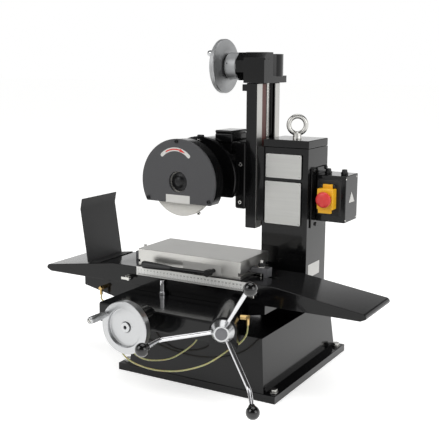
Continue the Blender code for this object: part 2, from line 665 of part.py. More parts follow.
def build_saddle():
    left_bottom = SADDLE_BOTTOM + 20 * MM
    outline = [(SADDLE_LEFT, SADDLE_TOP), (SADDLE_LEFT, left_bottom),
               (SADDLE_LEFT + 99 * MM, SADDLE_BOTTOM), (SADDLE_RIGHT - 99 * MM, SADDLE_BOTTOM),
               (SADDLE_RIGHT, left_bottom), (SADDLE_RIGHT, SADDLE_TOP)]
    saddle = plate(outline, "Y", SADDLE_FRONT, SADDLE_FRONT + SADDLE_DEPTH)
    screw_hole = rod((CROSS_X, SADDLE_FRONT - EASE, CROSS_Z),
                     (CROSS_X, SADDLE_FRONT + SADDLE_DEPTH + EASE, CROSS_Z),
                     CROSS_SHAFT + EASE, 16)
    cut(saddle, screw_hole)
    back = pinion_distance() - 20 * MM
    cut(saddle, rod(along_capstan(-150 * MM), along_capstan(back), CAPSTAN_SHAFT + EASE, 16))
    pocket = PINION_RADIUS + 3 * MM
    middle = along_capstan(pinion_distance())
    cut(saddle, box((middle.x - pocket - 4 * MM, SLOT_MID - 22 * MM, middle.z - pocket),
                    (middle.x + pocket + 4 * MM, SLOT_MID + 22 * MM, SADDLE_TOP + EASE)))
    node("saddle_casting", saddle, BLACK, "saddle")

    apron = box((APRON_LEFT, APRON_FRONT, APRON_BOTTOM), (APRON_RIGHT, SADDLE_FRONT - GAP, APRON_TOP),
                6 * MM, 2)
    frame = capstan_frame()
    drop = CAPSTAN_CENTRE.z - APRON_BOTTOM - 4 * MM
    outline = ([(-BOSS_HALF, -drop), (BOSS_HALF, -drop)]
               + arc((0, 0), BOSS_HALF, 0, 180, 10))
    boss_back = (SADDLE_FRONT - 22 * MM - CAPSTAN_CENTRE.y) / CAPSTAN_AXIS.y
    boss = plate(outline, "Z", boss_back, -12 * MM, frame)
    cut(apron, box((APRON_LEFT - EASE, SADDLE_FRONT - GAP, 0), (APRON_RIGHT + EASE, 0, TABLE_TOP)))
    join(apron, boss)
    cut(apron, *ways(WAY_FRONT - CROSS_TRAVEL_BACK - EASE, 0, EASE, DECK + WAY_RISE + EASE))
    join(apron, rod((CROSS_X, CROSS_FACE + CROSS_HUB + 1 * MM, CROSS_Z),
                    (CROSS_X, APRON_FRONT + 8 * MM, CROSS_Z), CROSS_BOSS, 28))
    cut(apron, rod(along_capstan(EASE), along_capstan(-260 * MM), CAPSTAN_SHAFT + RUN, 20))
    cut(apron, rod((CROSS_X, CROSS_FACE, CROSS_Z), (CROSS_X, 0, CROSS_Z), CROSS_SHAFT + RUN, 20))
    node("apron", apron, BLACK, "saddle")

    post_x, post_y = -125 * MM, SADDLE_FRONT - 12 * MM
    post = turned([(0, 38 * MM), (5 * MM, 38 * MM), (6 * MM, 37 * MM), (6 * MM, 9 * MM),
                   (8 * MM, 8 * MM), (8 * MM, 0), (0, 0)],
                  (post_x, post_y, APRON_TOP + GAP), (0, 0, 1), 20)
    node("stop_post", post, CHROME, "saddle")

    oil_elbow("left", (OIL_LEFT_X, SADDLE_FRONT - GAP, OIL_LEFT_Z), (0, -1, 0))
    side = Vector((0, 0, 1)).cross(CAPSTAN_AXIS).normalized()
    on_boss = along_capstan(-80 * MM) + side * (BOSS_HALF + GAP)
    oil_elbow("right", (on_boss.x, on_boss.y, OIL_RIGHT_Z), side)
    node("oil_tube_long", tube(smooth_route(OIL_ROUTE_LONG, 4), OIL_TUBE), NYLON, "saddle")
    node("oil_tube_short", tube(smooth_route(OIL_ROUTE_SHORT, 4), OIL_TUBE), NYLON, "saddle")


def handwheel(radius, origin, axis, hub_length, shaft_radius, shaft_length, pin):
    """Dished handwheel with its shaft; the profile's top is the front cap."""
    rim, web, recess = 0.74 * radius, 6 * MM, 9 * MM
    hub = 15 * MM
    wheel = turned([
        (0, -recess + 4 * MM), (hub - 1 * MM, -recess + 4 * MM), (hub, -recess + 3 * MM),
        (hub, -recess), (rim - 4 * MM, -recess), (rim, 0), (radius - 2 * MM, 0), (radius, -2 * MM),
        (radius, -17 * MM), (radius - 2 * MM, -19 * MM), (rim + 4 * MM, -19 * MM),
        (rim - 2 * MM, -recess - web), (hub + 9 * MM, -recess - web - 2 * MM),
        (hub + 7 * MM, -hub_length), (shaft_radius, -hub_length), (shaft_radius, -shaft_length),
        (0, -shaft_length)], origin, axis, 36)
    return join(wheel, rod(*pin, GRIP_PIN, 12))


def grip(start, end, radius):
    """Handle that spins on its pin, slightly waisted at the wheel end."""
    start, end = Vector(start), Vector(end)
    length = (end - start).length
    piece = turned([(0, 0), (radius * 0.9, 0), (radius * 1.05, -3 * MM), (radius * 1.1, -length * 0.4),
                    (radius * 0.85, -length + 4 * MM), (radius * 0.85, -length), (0, -length)],
                   end, end - start, 20)
    return cut(piece, rod(start - (end - start) * 0.1, start + (end - start) * 0.8, GRIP_PIN + RUN, 14))


def build_cross_feed():
    face = (CROSS_X, CROSS_FACE, CROSS_Z)
    pin = ((GRIP_X, CROSS_FACE + 4 * MM, GRIP_Z), (GRIP_X, CROSS_FACE - CROSS_GRIP_LENGTH * 0.7, GRIP_Z))
    shaft_length = 80 * MM
    wheel = handwheel(CROSS_WHEEL_RADIUS, face, (0, -1, 0), CROSS_HUB, CROSS_SHAFT, shaft_length, pin)
    cut(wheel, rod((CROSS_X, CROSS_FACE - EASE, CROSS_Z), (CROSS_X, CROSS_FACE + 12 * MM, CROSS_Z),
                   4 * MM, 6))
    node("cross_handwheel", wheel, ALUMINIUM, "cross_screw")
    screw = rod((CROSS_X, CROSS_FACE + shaft_length + GAP, CROSS_Z),
                (CROSS_X, SADDLE_FRONT + SADDLE_DEPTH - 10 * MM, CROSS_Z), CROSS_SHAFT, 20)
    node("cross_screw", screw, STEEL, "cross_screw")
    start = (GRIP_X, CROSS_FACE - GAP, GRIP_Z)
    end = (GRIP_X, CROSS_FACE - CROSS_GRIP_LENGTH, GRIP_Z)
    node("cross_grip", grip(start, end, GRIP_RADIUS), ALUMINIUM, "cross_grip")


def build_capstan():
    frame = capstan_frame()
    hub = turned([(0, 16 * MM), (17 * MM, 16 * MM), (18 * MM, 15 * MM), (24 * MM, 4 * MM),
                  (27 * MM, -3 * MM), (27 * MM, -11.5 * MM), (CAPSTAN_SHAFT, -11.5 * MM),
                  (CAPSTAN_SHAFT, -CAPSTAN_SHAFT_LENGTH), (0, -CAPSTAN_SHAFT_LENGTH)],
                 CAPSTAN_CENTRE, CAPSTAN_AXIS, 32)
    sides, tips = [], []
    for k in range(3):
        turn = math.radians(181.8 + 120 * k)
        spoke = frame.to_3x3() @ Vector((math.cos(turn), math.sin(turn), 0))
        root = CAPSTAN_CENTRE + spoke * 18 * MM
        bend = CAPSTAN_CENTRE + spoke * 128 * MM + CAPSTAN_AXIS * 60 * MM
        tip = CAPSTAN_CENTRE + spoke * 152 * MM + CAPSTAN_AXIS * 125 * MM
        out = (bend - root).normalized()
        last = (tip - bend).normalized()
        cut(hub, rod(root, root + out * 40 * MM, CAPSTAN_ROD + GAP, 14))
        corner = 12 * MM
        line = [root + out * GAP, bend - out * corner]
        line += [bend - out * corner * (1 - t) ** 2 + last * corner * t * t for t in (0.25, 0.5, 0.75)]
        line += [bend + last * corner, tip - last * 5 * MM]
        sides.append(tube(line, CAPSTAN_ROD, 2))
        knob = ball(tip, CAPSTAN_BALL, 24, 14)
        cut(knob, rod(tip - last * 2 * CAPSTAN_BALL, tip - last * (5 * MM - GAP),
                      CAPSTAN_ROD + GAP, 14))
        tips.append(knob)
    node("capstan_hub", hub, STEEL, "capstan")
    for label, side, tip in zip(("left", "lower", "upper"), sides, tips):
        node("capstan_rod_" + label, side, CHROME, "capstan")
        node("capstan_ball_" + label, tip, PHENOLIC, "capstan")
    middle = pinion_distance()
    shaft = rod(along_capstan(-CAPSTAN_SHAFT_LENGTH - GAP), along_capstan(middle - 12 * MM),
                CAPSTAN_SHAFT, 20)
    join(shaft, rod(along_capstan(middle + 9 * MM), along_capstan(middle - 9 * MM), PINION_RADIUS, 24))
    node("pinion_shaft", shaft, STEEL, "capstan")


# ---------------------------------------------------------------- table and what it carries
def build_table():
    tip = 9 * MM
    top, bottom = TABLE_TOP, TABLE_BOTTOM
    tip_top = bottom + TABLE_TIP
    right_end = [(x, z) for x, z in arc((TABLE_RIGHT - tip, tip_top - tip), tip, 75, -20, 4)]
    left_end = [(2 * TABLE_MIDDLE - x, z) for x, z in reversed(right_end)]
    outline = ([(FLAT_LEFT, top), (FLAT_RIGHT, top)] + right_end
               + [(TABLE_RIGHT - 14 * MM, bottom), (TABLE_LEFT + 14 * MM, bottom)] + left_end)
    table = plate(outline, "Y", TABLE_FRONT, TABLE_FRONT + TABLE_DEPTH)
    # T-slot along the level top
    slot_left, slot_right = FLAT_LEFT + 34 * MM, FLAT_RIGHT - 30 * MM
    cut(table, box((slot_left, SLOT_MID - SLOT_MOUTH / 2, top - 10 * MM),
                   (slot_right, SLOT_MID + SLOT_MOUTH / 2, top + EASE)))
    cut(table, box((slot_left, SLOT_MID - SLOT_HEAD / 2, top - 18 * MM),
                   (slot_right, SLOT_MID + SLOT_HEAD / 2, top - 9 * MM)))
    # channel underneath for the rack and the pinion
    channel = 18 * MM
    cut(table, box((TABLE_LEFT + 60 * MM, SLOT_MID - channel, bottom - EASE),
                   (TABLE_RIGHT - 60 * MM, SLOT_MID + channel, rack_bottom() + RACK_HEIGHT + GAP)))
    node("table_casting", table, BLACK, "table")
    rack = box((TABLE_LEFT + 70 * MM, SLOT_MID - 12 * MM, rack_bottom()),
               (TABLE_RIGHT - 70 * MM, SLOT_MID + 12 * MM, rack_bottom() + RACK_HEIGHT))
    node("table_rack", rack, STEEL, "table")
    rule = box((CHUCK_LEFT + 6 * MM, TABLE_FRONT - GAP - RULE_THICKNESS, top - RULE_HEIGHT + 2 * MM),
               (CHUCK_LEFT + 6 * MM + RULE_LENGTH, TABLE_FRONT - GAP, top + 2 * MM))
    node("steel_rule", rule, STEEL, "table")


def rack_bottom():
    """Underside of the rack, just clear of the pinion."""
    return along_capstan(pinion_distance()).z + PINION_RADIUS + RUN


def build_chuck():
    chuck = box((CHUCK_LEFT, CHUCK_FRONT, CHUCK_BOTTOM),
                (CHUCK_RIGHT, CHUCK_FRONT + CHUCK_WIDTH, CHUCK_TOP), 0.8 * MM)
    ledge = 6 * MM
    for x in (CHUCK_LEFT, CHUCK_RIGHT):
        cut(chuck, box((x - ledge, CHUCK_FRONT - EASE, CHUCK_BOTTOM + 9 * MM),
                       (x + ledge, CHUCK_FRONT + CHUCK_WIDTH + EASE, CHUCK_BOTTOM + 17 * MM)))
    cut(chuck, rod((LEVER_X, CHUCK_FRONT - EASE, LEVER_Z), (LEVER_X, CHUCK_FRONT + 16 * MM, LEVER_Z),
                   6 * MM, 20))
    node("magnetic_chuck", chuck, STEEL, "table")

    for label, x, side in (("left", CHUCK_LEFT, -1), ("right", CHUCK_RIGHT, 1)):
        stud_x = x + side * 24 * MM
        near, far = sorted((x - side * (ledge - GAP), x + side * 46 * MM))
        low = TABLE_TOP + GAP
        strap = box((near, SLOT_MID - 13 * MM, CHUCK_BOTTOM + 9 * MM + GAP),
                    (far, SLOT_MID + 13 * MM, CHUCK_BOTTOM + 17 * MM - GAP), 1 * MM)
        join(strap, box((min(x + side * EASE, far if side > 0 else near),
                         SLOT_MID - 13 * MM, CHUCK_BOTTOM + 12 * MM),
                        (max(x + side * EASE, far if side > 0 else near),
                         SLOT_MID + 13 * MM, CHUCK_BOTTOM + 22 * MM)))
        heel_a, heel_b = sorted((x + side * 36 * MM, x + side * 46 * MM))
        join(strap, box((heel_a, SLOT_MID - 13 * MM, low),
                        (heel_b, SLOT_MID + 13 * MM, CHUCK_BOTTOM + 14 * MM)))
        cut(strap, rod((stud_x, SLOT_MID, low), (stud_x, SLOT_MID, CHUCK_TOP), 4.5 * MM, 14))
        node("chuck_strap_" + label, strap, STEEL, "table")
        seat = CHUCK_BOTTOM + 22 * MM + GAP
        stud = rod((stud_x, SLOT_MID, TABLE_TOP - 14 * MM), (stud_x, SLOT_MID, seat + 18 * MM), 4 * MM, 14)
        join(stud, rod((stud_x, SLOT_MID, seat), (stud_x, SLOT_MID, seat + 2 * MM), 9.5 * MM, 20))
        join(stud, rod((stud_x, SLOT_MID, seat + 1 * MM), (stud_x, SLOT_MID, seat + 10 * MM), 7.5 * MM, 6))
        join(stud, box((stud_x - 9 * MM, SLOT_MID - SLOT_HEAD / 2 + RUN, TABLE_TOP - 17.5 * MM),
                       (stud_x + 9 * MM, SLOT_MID + SLOT_HEAD / 2 - RUN, TABLE_TOP - 10.3 * MM)))
        node("clamp_stud_" + label, stud, STEEL, "table")

    pivot_front = TABLE_FRONT - 14 * MM
    shaft = rod((LEVER_X, pivot_front + 6 * MM, LEVER_Z), (LEVER_X, CHUCK_FRONT + 14 * MM, LEVER_Z),
                5.5 * MM, 20)
    lever = join(rod((LEVER_X, pivot_front - 5 * MM, LEVER_Z), (LEVER_X, TABLE_FRONT - 4 * MM, LEVER_Z),
                     9 * MM, 24), shaft)
    grip_end = LEVER_X - LEVER_LENGTH
    bar_end = grip_end + LEVER_GRIP / 3
    bar_z = LEVER_Z - 2 * MM
    join(lever, rod((LEVER_X, pivot_front, LEVER_Z), (bar_end, pivot_front, bar_z), LEVER_BAR, 16))
    node("chuck_lever", lever, BLACK, "chuck_lever")
    handle = turned([(0, 0), (8 * MM, 0), (9.5 * MM, -4 * MM), (9.5 * MM, -14 * MM),
                     (8.5 * MM, -45 * MM), (6 * MM, -LEVER_GRIP), (0, -LEVER_GRIP)],
                    (grip_end, pivot_front, bar_z), (-1, 0, 0), 24)
    cut(handle, rod((grip_end + LEVER_GRIP + 10 * MM, pivot_front, bar_z),
                    (bar_end - GAP, pivot_front, bar_z), LEVER_BAR + GAP + RUN, 16))
    node("chuck_lever_grip", handle, PHENOLIC, "chuck_lever")


def build_table_extras():
    slope = (TABLE_TOP - TABLE_BOTTOM - TABLE_TIP) / (FLAT_LEFT - TABLE_LEFT)
    foot_x = FLAT_LEFT - 50 * MM
    foot_z = TABLE_TOP - (FLAT_LEFT - foot_x) * slope + GAP
    fold_x, fold_z = foot_x - SPLASH_FOOT, foot_z - SPLASH_FOOT * slope
    bend_x, bend_z = fold_x - SPLASH_LEAN, fold_z + SPLASH_HEIGHT
    lip_x, lip_z = bend_x + SPLASH_LIP / 5, bend_z + SPLASH_LIP
    outline = [(foot_x, foot_z), (fold_x, fold_z), (bend_x, bend_z), (lip_x, lip_z),
               (lip_x + SHEET, lip_z), (bend_x + SHEET, bend_z), (fold_x + SHEET, fold_z + SHEET),
               (foot_x, foot_z + SHEET)]
    front = TABLE_FRONT + 6 * MM
    guard = plate(outline, "Y", front, front + SPLASH_WIDTH)
    node("splash_guard", guard, BLACK, "table")

    # the right dog sits higher, so that it passes over the capstan's boss
    for label, x, down in (("left", -233 * MM, 31 * MM), ("right", 128 * MM, 26 * MM)):
        where = "stop_dog_" + label
        z = TABLE_TOP - down
        y = TABLE_FRONT - GAP
        body(where, (x, y, z))
        dog = rod((x, y, z), (x, y - 7 * MM, z), 8 * MM, 20)
        join(dog, rod((x, y - 5 * MM, z), (x, y - 17 * MM, z), 3 * MM, 12))
        join(dog, box((x - 13 * MM, y - 19 * MM, z - 3 * MM),
                      (x + 13 * MM, y - 15 * MM, z + 5 * MM), 1 * MM))
        node(where, dog, CHROME, where)


# ---------------------------------------------------------------- wheel head
def guard_outline(radius, drop):
    """Circle cut flat below the axis, as (x, z)."""
    edge = math.degrees(math.asin(drop / radius))
    return [(SPINDLE_X + x, SPINDLE_Z + z) for x, z in arc((0, 0), radius, -edge, 180 + edge, 40)]


def build_head():
    ram = box((RAM_LEFT, RAM_FRONT, RAM_BOTTOM), (RAM_RIGHT, RAM_REAR, RAM_TOP), 1.5 * MM)
    cut(ram, plate(dovetail(RUN), "Z", RAM_BOTTOM - EASE, RAM_TOP + EASE))
    half = LIFT_SCREW_RADIUS + 7 * MM
    cut(ram, box((LIFT_SCREW_X - 14 * MM, LIFT_Y - half, RAM_BOTTOM - EASE),
                 (RAM_RIGHT + EASE, LIFT_Y + half, RAM_TOP + EASE)))
    join(ram, box((RAM_LEFT - 12 * MM, RAM_FRONT, RAM_TOP - 20 * MM),
                  (RAM_LEFT + 5 * MM, RAM_FRONT + 30 * MM, RAM_TOP - 3 * MM), 1 * MM))
    node("ram", ram, BLACK, "head")

    cap = RAM_TOP + GAP
    plate_top = cap + 18 * MM
    block_left, block_right = RAM_LEFT - 9 * MM, RAM_RIGHT + 19 * MM
    axis_z = cap + 41 * MM
    block_top = axis_z + 36 * MM
    gearbox = box((block_left, RAM_FRONT, cap), (block_right, RAM_REAR, plate_top))
    front = [(RAM_FRONT, plate_top - 2 * MM), (RAM_FRONT, block_top - 14 * MM),
             (RAM_FRONT + 14 * MM, block_top), (RAM_FRONT + 50 * MM, block_top),
             (RAM_FRONT + 50 * MM, plate_top - 2 * MM)]
    join(gearbox, plate(front, "X", block_left, block_right))
    drum_x, drum_y = block_left + 24 * MM, RAM_REAR - 42 * MM
    join(gearbox, rod((drum_x, drum_y, plate_top - 2 * MM), (drum_x, drum_y, block_top - 4 * MM),
                      41 * MM, 36))
    neck_left = block_left - 43 * MM
    flats = 36 * MM / math.cos(math.radians(22.5))
    neck = [(LIFT_Y + flats * math.cos(math.radians(22.5 + 45 * k)),
             axis_z + flats * math.sin(math.radians(22.5 + 45 * k))) for k in range(8)]
    join(gearbox, plate(neck, "X", neck_left, block_left + 12 * MM))
    shaft = 8 * MM
    cut(gearbox, rod((neck_left - EASE, LIFT_Y, axis_z), (LIFT_SCREW_X + 12 * MM, LIFT_Y, axis_z),
                     shaft + RUN, 20))
    cut(gearbox, rod((LIFT_SCREW_X, LIFT_Y, cap - EASE), (LIFT_SCREW_X, LIFT_Y, axis_z - 10 * MM),
                     LIFT_SCREW_RADIUS + RUN, 20))
    node("lift_gearbox", gearbox, BLACK, "head")

    screw_top = axis_z - 11 * MM
    screw = rod((LIFT_SCREW_X, LIFT_Y, RAM_BOTTOM + 40 * MM), (LIFT_SCREW_X, LIFT_Y, screw_top),
                LIFT_SCREW_RADIUS, 20)
    node("lift_screw", screw, STEEL, "lift_screw")

    collar_left = neck_left - 37 * MM
    body("lift_wheel", (collar_left, LIFT_Y, axis_z))
    grip_y, grip_z = LIFT_Y + LIFT_GRIP_BACK, axis_z + LIFT_GRIP_UP
    face_x = collar_left - 22 * MM
    body("lift_grip", (face_x, grip_y, grip_z))
    radius = LIFT_WHEEL_RADIUS
    wheel = turned([
        (0, -4 * MM), (15 * MM, -4 * MM), (15 * MM, -9 * MM), (0.68 * radius, -9 * MM),
        (0.72 * radius, 0), (radius - 2 * MM, 0), (radius, -2 * MM), (radius, -LIFT_RIM + 2 * MM),
        (radius - 2 * MM, -LIFT_RIM), (0.8 * radius, -LIFT_RIM - 2 * MM),
        (0.55 * radius, -LIFT_RIM - 7 * MM),
        (36 * MM, -22.5 * MM), (36 * MM, -59 * MM + GAP), (shaft, -59 * MM + GAP),
        (shaft, -112 * MM), (0, -112 * MM)],
        (face_x, LIFT_Y, axis_z), (-1, 0, 0), 40)
    join(wheel, rod((face_x + 4 * MM, grip_y, grip_z), (face_x - LIFT_GRIP_LENGTH * 0.7, grip_y, grip_z),
                    GRIP_PIN, 12))
    node("lift_handwheel", wheel, ALUMINIUM, "lift_wheel")
    node("lift_grip", grip((face_x - GAP, grip_y, grip_z), (face_x - LIFT_GRIP_LENGTH, grip_y, grip_z),
                           GRIP_RADIUS), ALUMINIUM, "lift_grip")

    build_motor()
    build_guard()


def build_motor():
    near, rim = GUARD_REAR + GAP, MOTOR_RADIUS + MOTOR_RIM
    motor = turned([
        (0, -near), (46 * MM, -near), (46 * MM, -MOTOR_FACE + 14 * MM), (60 * MM, -MOTOR_FACE),
        (rim - 1 * MM, -MOTOR_FACE), (rim, -MOTOR_FACE - 1 * MM),
        (rim, -MOTOR_FACE - 12 * MM), (MOTOR_RADIUS, -MOTOR_FACE - 13 * MM),
        (MOTOR_RADIUS, -MOTOR_REAR + 12 * MM), (MOTOR_RADIUS - 10 * MM, -MOTOR_REAR),
        (0, -MOTOR_REAR)],
        (SPINDLE_X, 0, SPINDLE_Z), (0, -1, 0), 48)
    flat = SPINDLE_Z - MOTOR_DROP
    cut(motor, box((SPINDLE_X - 2 * MOTOR_RADIUS, GUARD_REAR, flat - 2 * MOTOR_RADIUS),
                   (SPINDLE_X + 2 * MOTOR_RADIUS, 2 * MOTOR_REAR, flat)))
    # lug with a bolt boss at the top of the flange, pads for the terminal box
    top = SPINDLE_Z + MOTOR_RADIUS
    join(motor, box((SPINDLE_X - 9 * MM, MOTOR_FACE + 1 * MM, top - 8 * MM),
                    (SPINDLE_X + 9 * MM, MOTOR_FACE + 12 * MM, top + 9 * MM), 3 * MM))
    pad_x = (SPINDLE_X + 46 * MM, SPINDLE_X + 82 * MM)
    join(motor, box((pad_x[0], 48 * MM, SPINDLE_Z + 40 * MM), (pad_x[1], 108 * MM, SPINDLE_Z + 95 * MM)))
    cut(motor, rod((SPINDLE_X, near - EASE, SPINDLE_Z), (SPINDLE_X, MOTOR_REAR - 20 * MM, SPINDLE_Z),
                   SPINDLE_RADIUS + RUN, 24))
    node("motor", motor, BLACK, "head")

    box_bottom = SPINDLE_Z + 95 * MM + GAP
    cover = box((SPINDLE_X + 38 * MM, 38 * MM, box_bottom),
                (SPINDLE_X + 90 * MM, 118 * MM, box_bottom + 31 * MM), 5 * MM, 1)
    node("terminal_box", cover, BLACK, "head")

    clasp_left = SPINDLE_X + MOTOR_RADIUS - 4.2 * MM
    clasp = box((clasp_left, RAM_FRONT, SPINDLE_Z - 76 * MM),
                (RAM_LEFT - GAP, RAM_REAR - 20 * MM, SPINDLE_Z + 100 * MM), 4 * MM)
    cut(clasp, rod((SPINDLE_X, -MOTOR_REAR, SPINDLE_Z), (SPINDLE_X, 2 * MOTOR_REAR, SPINDLE_Z),
                   MOTOR_RADIUS + GAP, 48))
    cut(clasp, box((pad_x[0], 0, box_bottom - EASE), (pad_x[1] + 12 * MM, 120 * MM, SPINDLE_Z + 130 * MM)))
    node("motor_bracket", clasp, BLACK, "head")


def build_guard():
    cover_back = GUARD_FRONT + 8 * MM
    eye = 27 * MM
    cover = plate(guard_outline(GUARD_RADIUS, GUARD_DROP), "Y", GUARD_FRONT, cover_back - GAP)
    round_edges(cover, 1.2 * MM)
    cut(cover, rod((SPINDLE_X, GUARD_FRONT - EASE, SPINDLE_Z), (SPINDLE_X, cover_back + EASE, SPINDLE_Z),
                   eye, 36))
    node("guard_cover", cover, GREY, "head")
    shell = plate(guard_outline(GUARD_RADIUS - 1.5 * MM, GUARD_DROP), "Y", cover_back, GUARD_REAR)
    inner = guard_outline(GUARD_RADIUS - 1.5 * MM - GUARD_WALL, GUARD_DROP + 12 * MM)
    cut(shell, plate(inner, "Y", cover_back - EASE, GUARD_REAR - GUARD_WALL))
    cut(shell, rod((SPINDLE_X, cover_back, SPINDLE_Z), (SPINDLE_X, GUARD_REAR + EASE, SPINDLE_Z),
                   SPINDLE_RADIUS + EASE, 24))
    node("guard_body", shell, BLACK, "head")

    wheel_front = cover_back + 7 * MM
    wheel_back = wheel_front + WHEEL_WIDTH
    wheel = rod((SPINDLE_X, wheel_front, SPINDLE_Z), (SPINDLE_X, wheel_back, SPINDLE_Z),
                WHEEL_DIAMETER / 2, 56)
    cut(wheel, rod((SPINDLE_X, wheel_front - EASE, SPINDLE_Z), (SPINDLE_X, wheel_back + EASE, SPINDLE_Z),
                   WHEEL_BORE / 2, 28))
    node("grinding_wheel", wheel, ABRASIVE, "spindle")
    flange = 33 * MM
    front, back = -wheel_front, -wheel_back
    spindle = turned([
        (0, front + 15 * MM), (9 * MM, front + 13 * MM), (14 * MM, front + 9 * MM),
        (16 * MM, front + 6 * MM), (WHEEL_BORE / 2 - 2 * RUN, front + GAP),
        (WHEEL_BORE / 2 - 2 * RUN, back - GAP), (flange, back - GAP), (flange, back - 5 * MM),
        (SPINDLE_RADIUS, back - 7 * MM), (SPINDLE_RADIUS, -MOTOR_REAR + 24 * MM),
        (0, -MOTOR_REAR + 24 * MM)],
        (SPINDLE_X, 0, SPINDLE_Z), (0, -1, 0), 32)
    node("spindle", spindle, STEEL, "spindle")


clear_scene()
PARTS = collection("surface_grinder")
TOOLS = collection("cutters")
BODIES = {"root": None}
body("saddle", (SADDLE_MID, SADDLE_FRONT, SADDLE_BOTTOM))
body("cross_screw", (CROSS_X, CROSS_FACE, CROSS_Z))
body("cross_grip", (GRIP_X, CROSS_FACE, GRIP_Z))
body("capstan", CAPSTAN_CENTRE)
body("table", (TABLE_MIDDLE, SLOT_MID, TABLE_BOTTOM))
body("chuck_lever", (LEVER_X, TABLE_FRONT, LEVER_Z))
body("head", (RAM_LEFT, RAM_MID, RAM_BOTTOM))
body("lift_screw", (LIFT_SCREW_X, LIFT_Y, RAM_BOTTOM))
body("spindle", (SPINDLE_X, GUARD_FRONT, SPINDLE_Z))

build_base()
build_column()
build_switch()
build_saddle()
build_cross_feed()
build_capstan()
build_table()
build_chuck()
build_table_extras()
build_head()
bpy.context.view_layer.update()
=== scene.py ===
import json
import math

import bmesh
import bpy
from bpy.props import FloatProperty, FloatVectorProperty, IntProperty, PointerProperty
from mathutils import Matrix, Vector


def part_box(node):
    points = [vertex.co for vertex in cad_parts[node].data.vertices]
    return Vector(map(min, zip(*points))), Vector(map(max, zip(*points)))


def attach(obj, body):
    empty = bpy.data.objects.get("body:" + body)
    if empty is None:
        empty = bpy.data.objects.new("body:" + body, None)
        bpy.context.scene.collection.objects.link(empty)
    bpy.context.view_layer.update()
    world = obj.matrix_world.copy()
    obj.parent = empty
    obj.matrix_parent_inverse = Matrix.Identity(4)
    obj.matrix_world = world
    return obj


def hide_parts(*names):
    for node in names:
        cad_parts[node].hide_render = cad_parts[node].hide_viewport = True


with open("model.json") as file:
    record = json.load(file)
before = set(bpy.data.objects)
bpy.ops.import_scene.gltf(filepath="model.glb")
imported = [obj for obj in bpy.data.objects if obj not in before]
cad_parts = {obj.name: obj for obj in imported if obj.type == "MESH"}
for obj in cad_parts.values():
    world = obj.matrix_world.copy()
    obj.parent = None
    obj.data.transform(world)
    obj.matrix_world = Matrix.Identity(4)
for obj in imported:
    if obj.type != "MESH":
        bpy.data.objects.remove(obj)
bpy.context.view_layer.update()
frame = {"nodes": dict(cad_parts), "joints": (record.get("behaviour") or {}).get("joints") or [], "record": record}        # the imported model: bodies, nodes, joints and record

bl_info = {
    "name": "Surface Grinder",
    "version": (1, 0, 0),
    "blender": (4, 5, 0),
    "location": "View3D > Sidebar > Grinder",
    "description": "Finishes a small bench surface grinder around its packed model",
    "category": "Object",
}

MM = 0.001
X, Y, Z = Vector((1, 0, 0)), Vector((0, 1, 0)), Vector((0, 0, 1))
FILM = 0.25 * MM          # stickers, plates and prints stand this proud of what they are on
JOINTS = {joint["name"]: joint for joint in frame["joints"]}

# routes of the two oil tubes, as the CAD lays them, in metres
OIL_ROUTES = {
    "oil_tube_long": [
        (0.1618, -0.2376, 0.1877), (0.1618, -0.2376, 0.179), (0.160, -0.242, 0.163), (0.150, -0.253, 0.1465),
        (0.131, -0.268, 0.133), (0.1107, -0.280, 0.115), (0.078, -0.293, 0.093), (0.022, -0.302, 0.0717),
        (-0.036, -0.304, 0.0615), (-0.083, -0.302, 0.0605), (-0.125, -0.296, 0.065), (-0.158, -0.284, 0.074),
        (-0.188, -0.262, 0.088), (-0.218, -0.232, 0.104), (-0.255, -0.198, 0.126), (-0.292, -0.172, 0.148),
        (-0.316, -0.1633, 0.161), (-0.3162, -0.1633, 0.167), (-0.3162, -0.1633, 0.1725)],
    "oil_tube_short": [
        (0.040, -0.262, 0.1462), (0.040, -0.262, 0.138), (0.027, -0.265, 0.122), (0.006, -0.272, 0.1042),
        (-0.026, -0.278, 0.0843), (-0.075, -0.282, 0.0725), (-0.110, -0.281, 0.074), (-0.140, -0.275, 0.086),
        (-0.158, -0.266, 0.106), (-0.165, -0.262, 0.128), (-0.166, -0.262, 0.1462)],
}
OIL_TUBE_RADIUS = 2 * MM
EASED = 0.5 * MM          # small rounding of turned and folded pieces


# ---------------------------------------------------------------- colours and sizes a user may change
def linear(code):
    """An sRGB hex colour as the linear values that a shader takes."""
    parts = [int(code[i:i + 2], 16) / 255 for i in (1, 3, 5)]
    return (*[c / 12.92 if c <= 0.04045 else ((c + 0.055) / 1.055) ** 2.4 for c in parts], 1.0)


def colour(name, description, code):
    return FloatVectorProperty(
        name=name, description=description, subtype="COLOR", size=4, min=0, max=1,
        default=linear(code))


def length(name, description, default):
    return FloatProperty(name=name, description=description, subtype="DISTANCE", unit="LENGTH",
                         min=0.0, default=default)


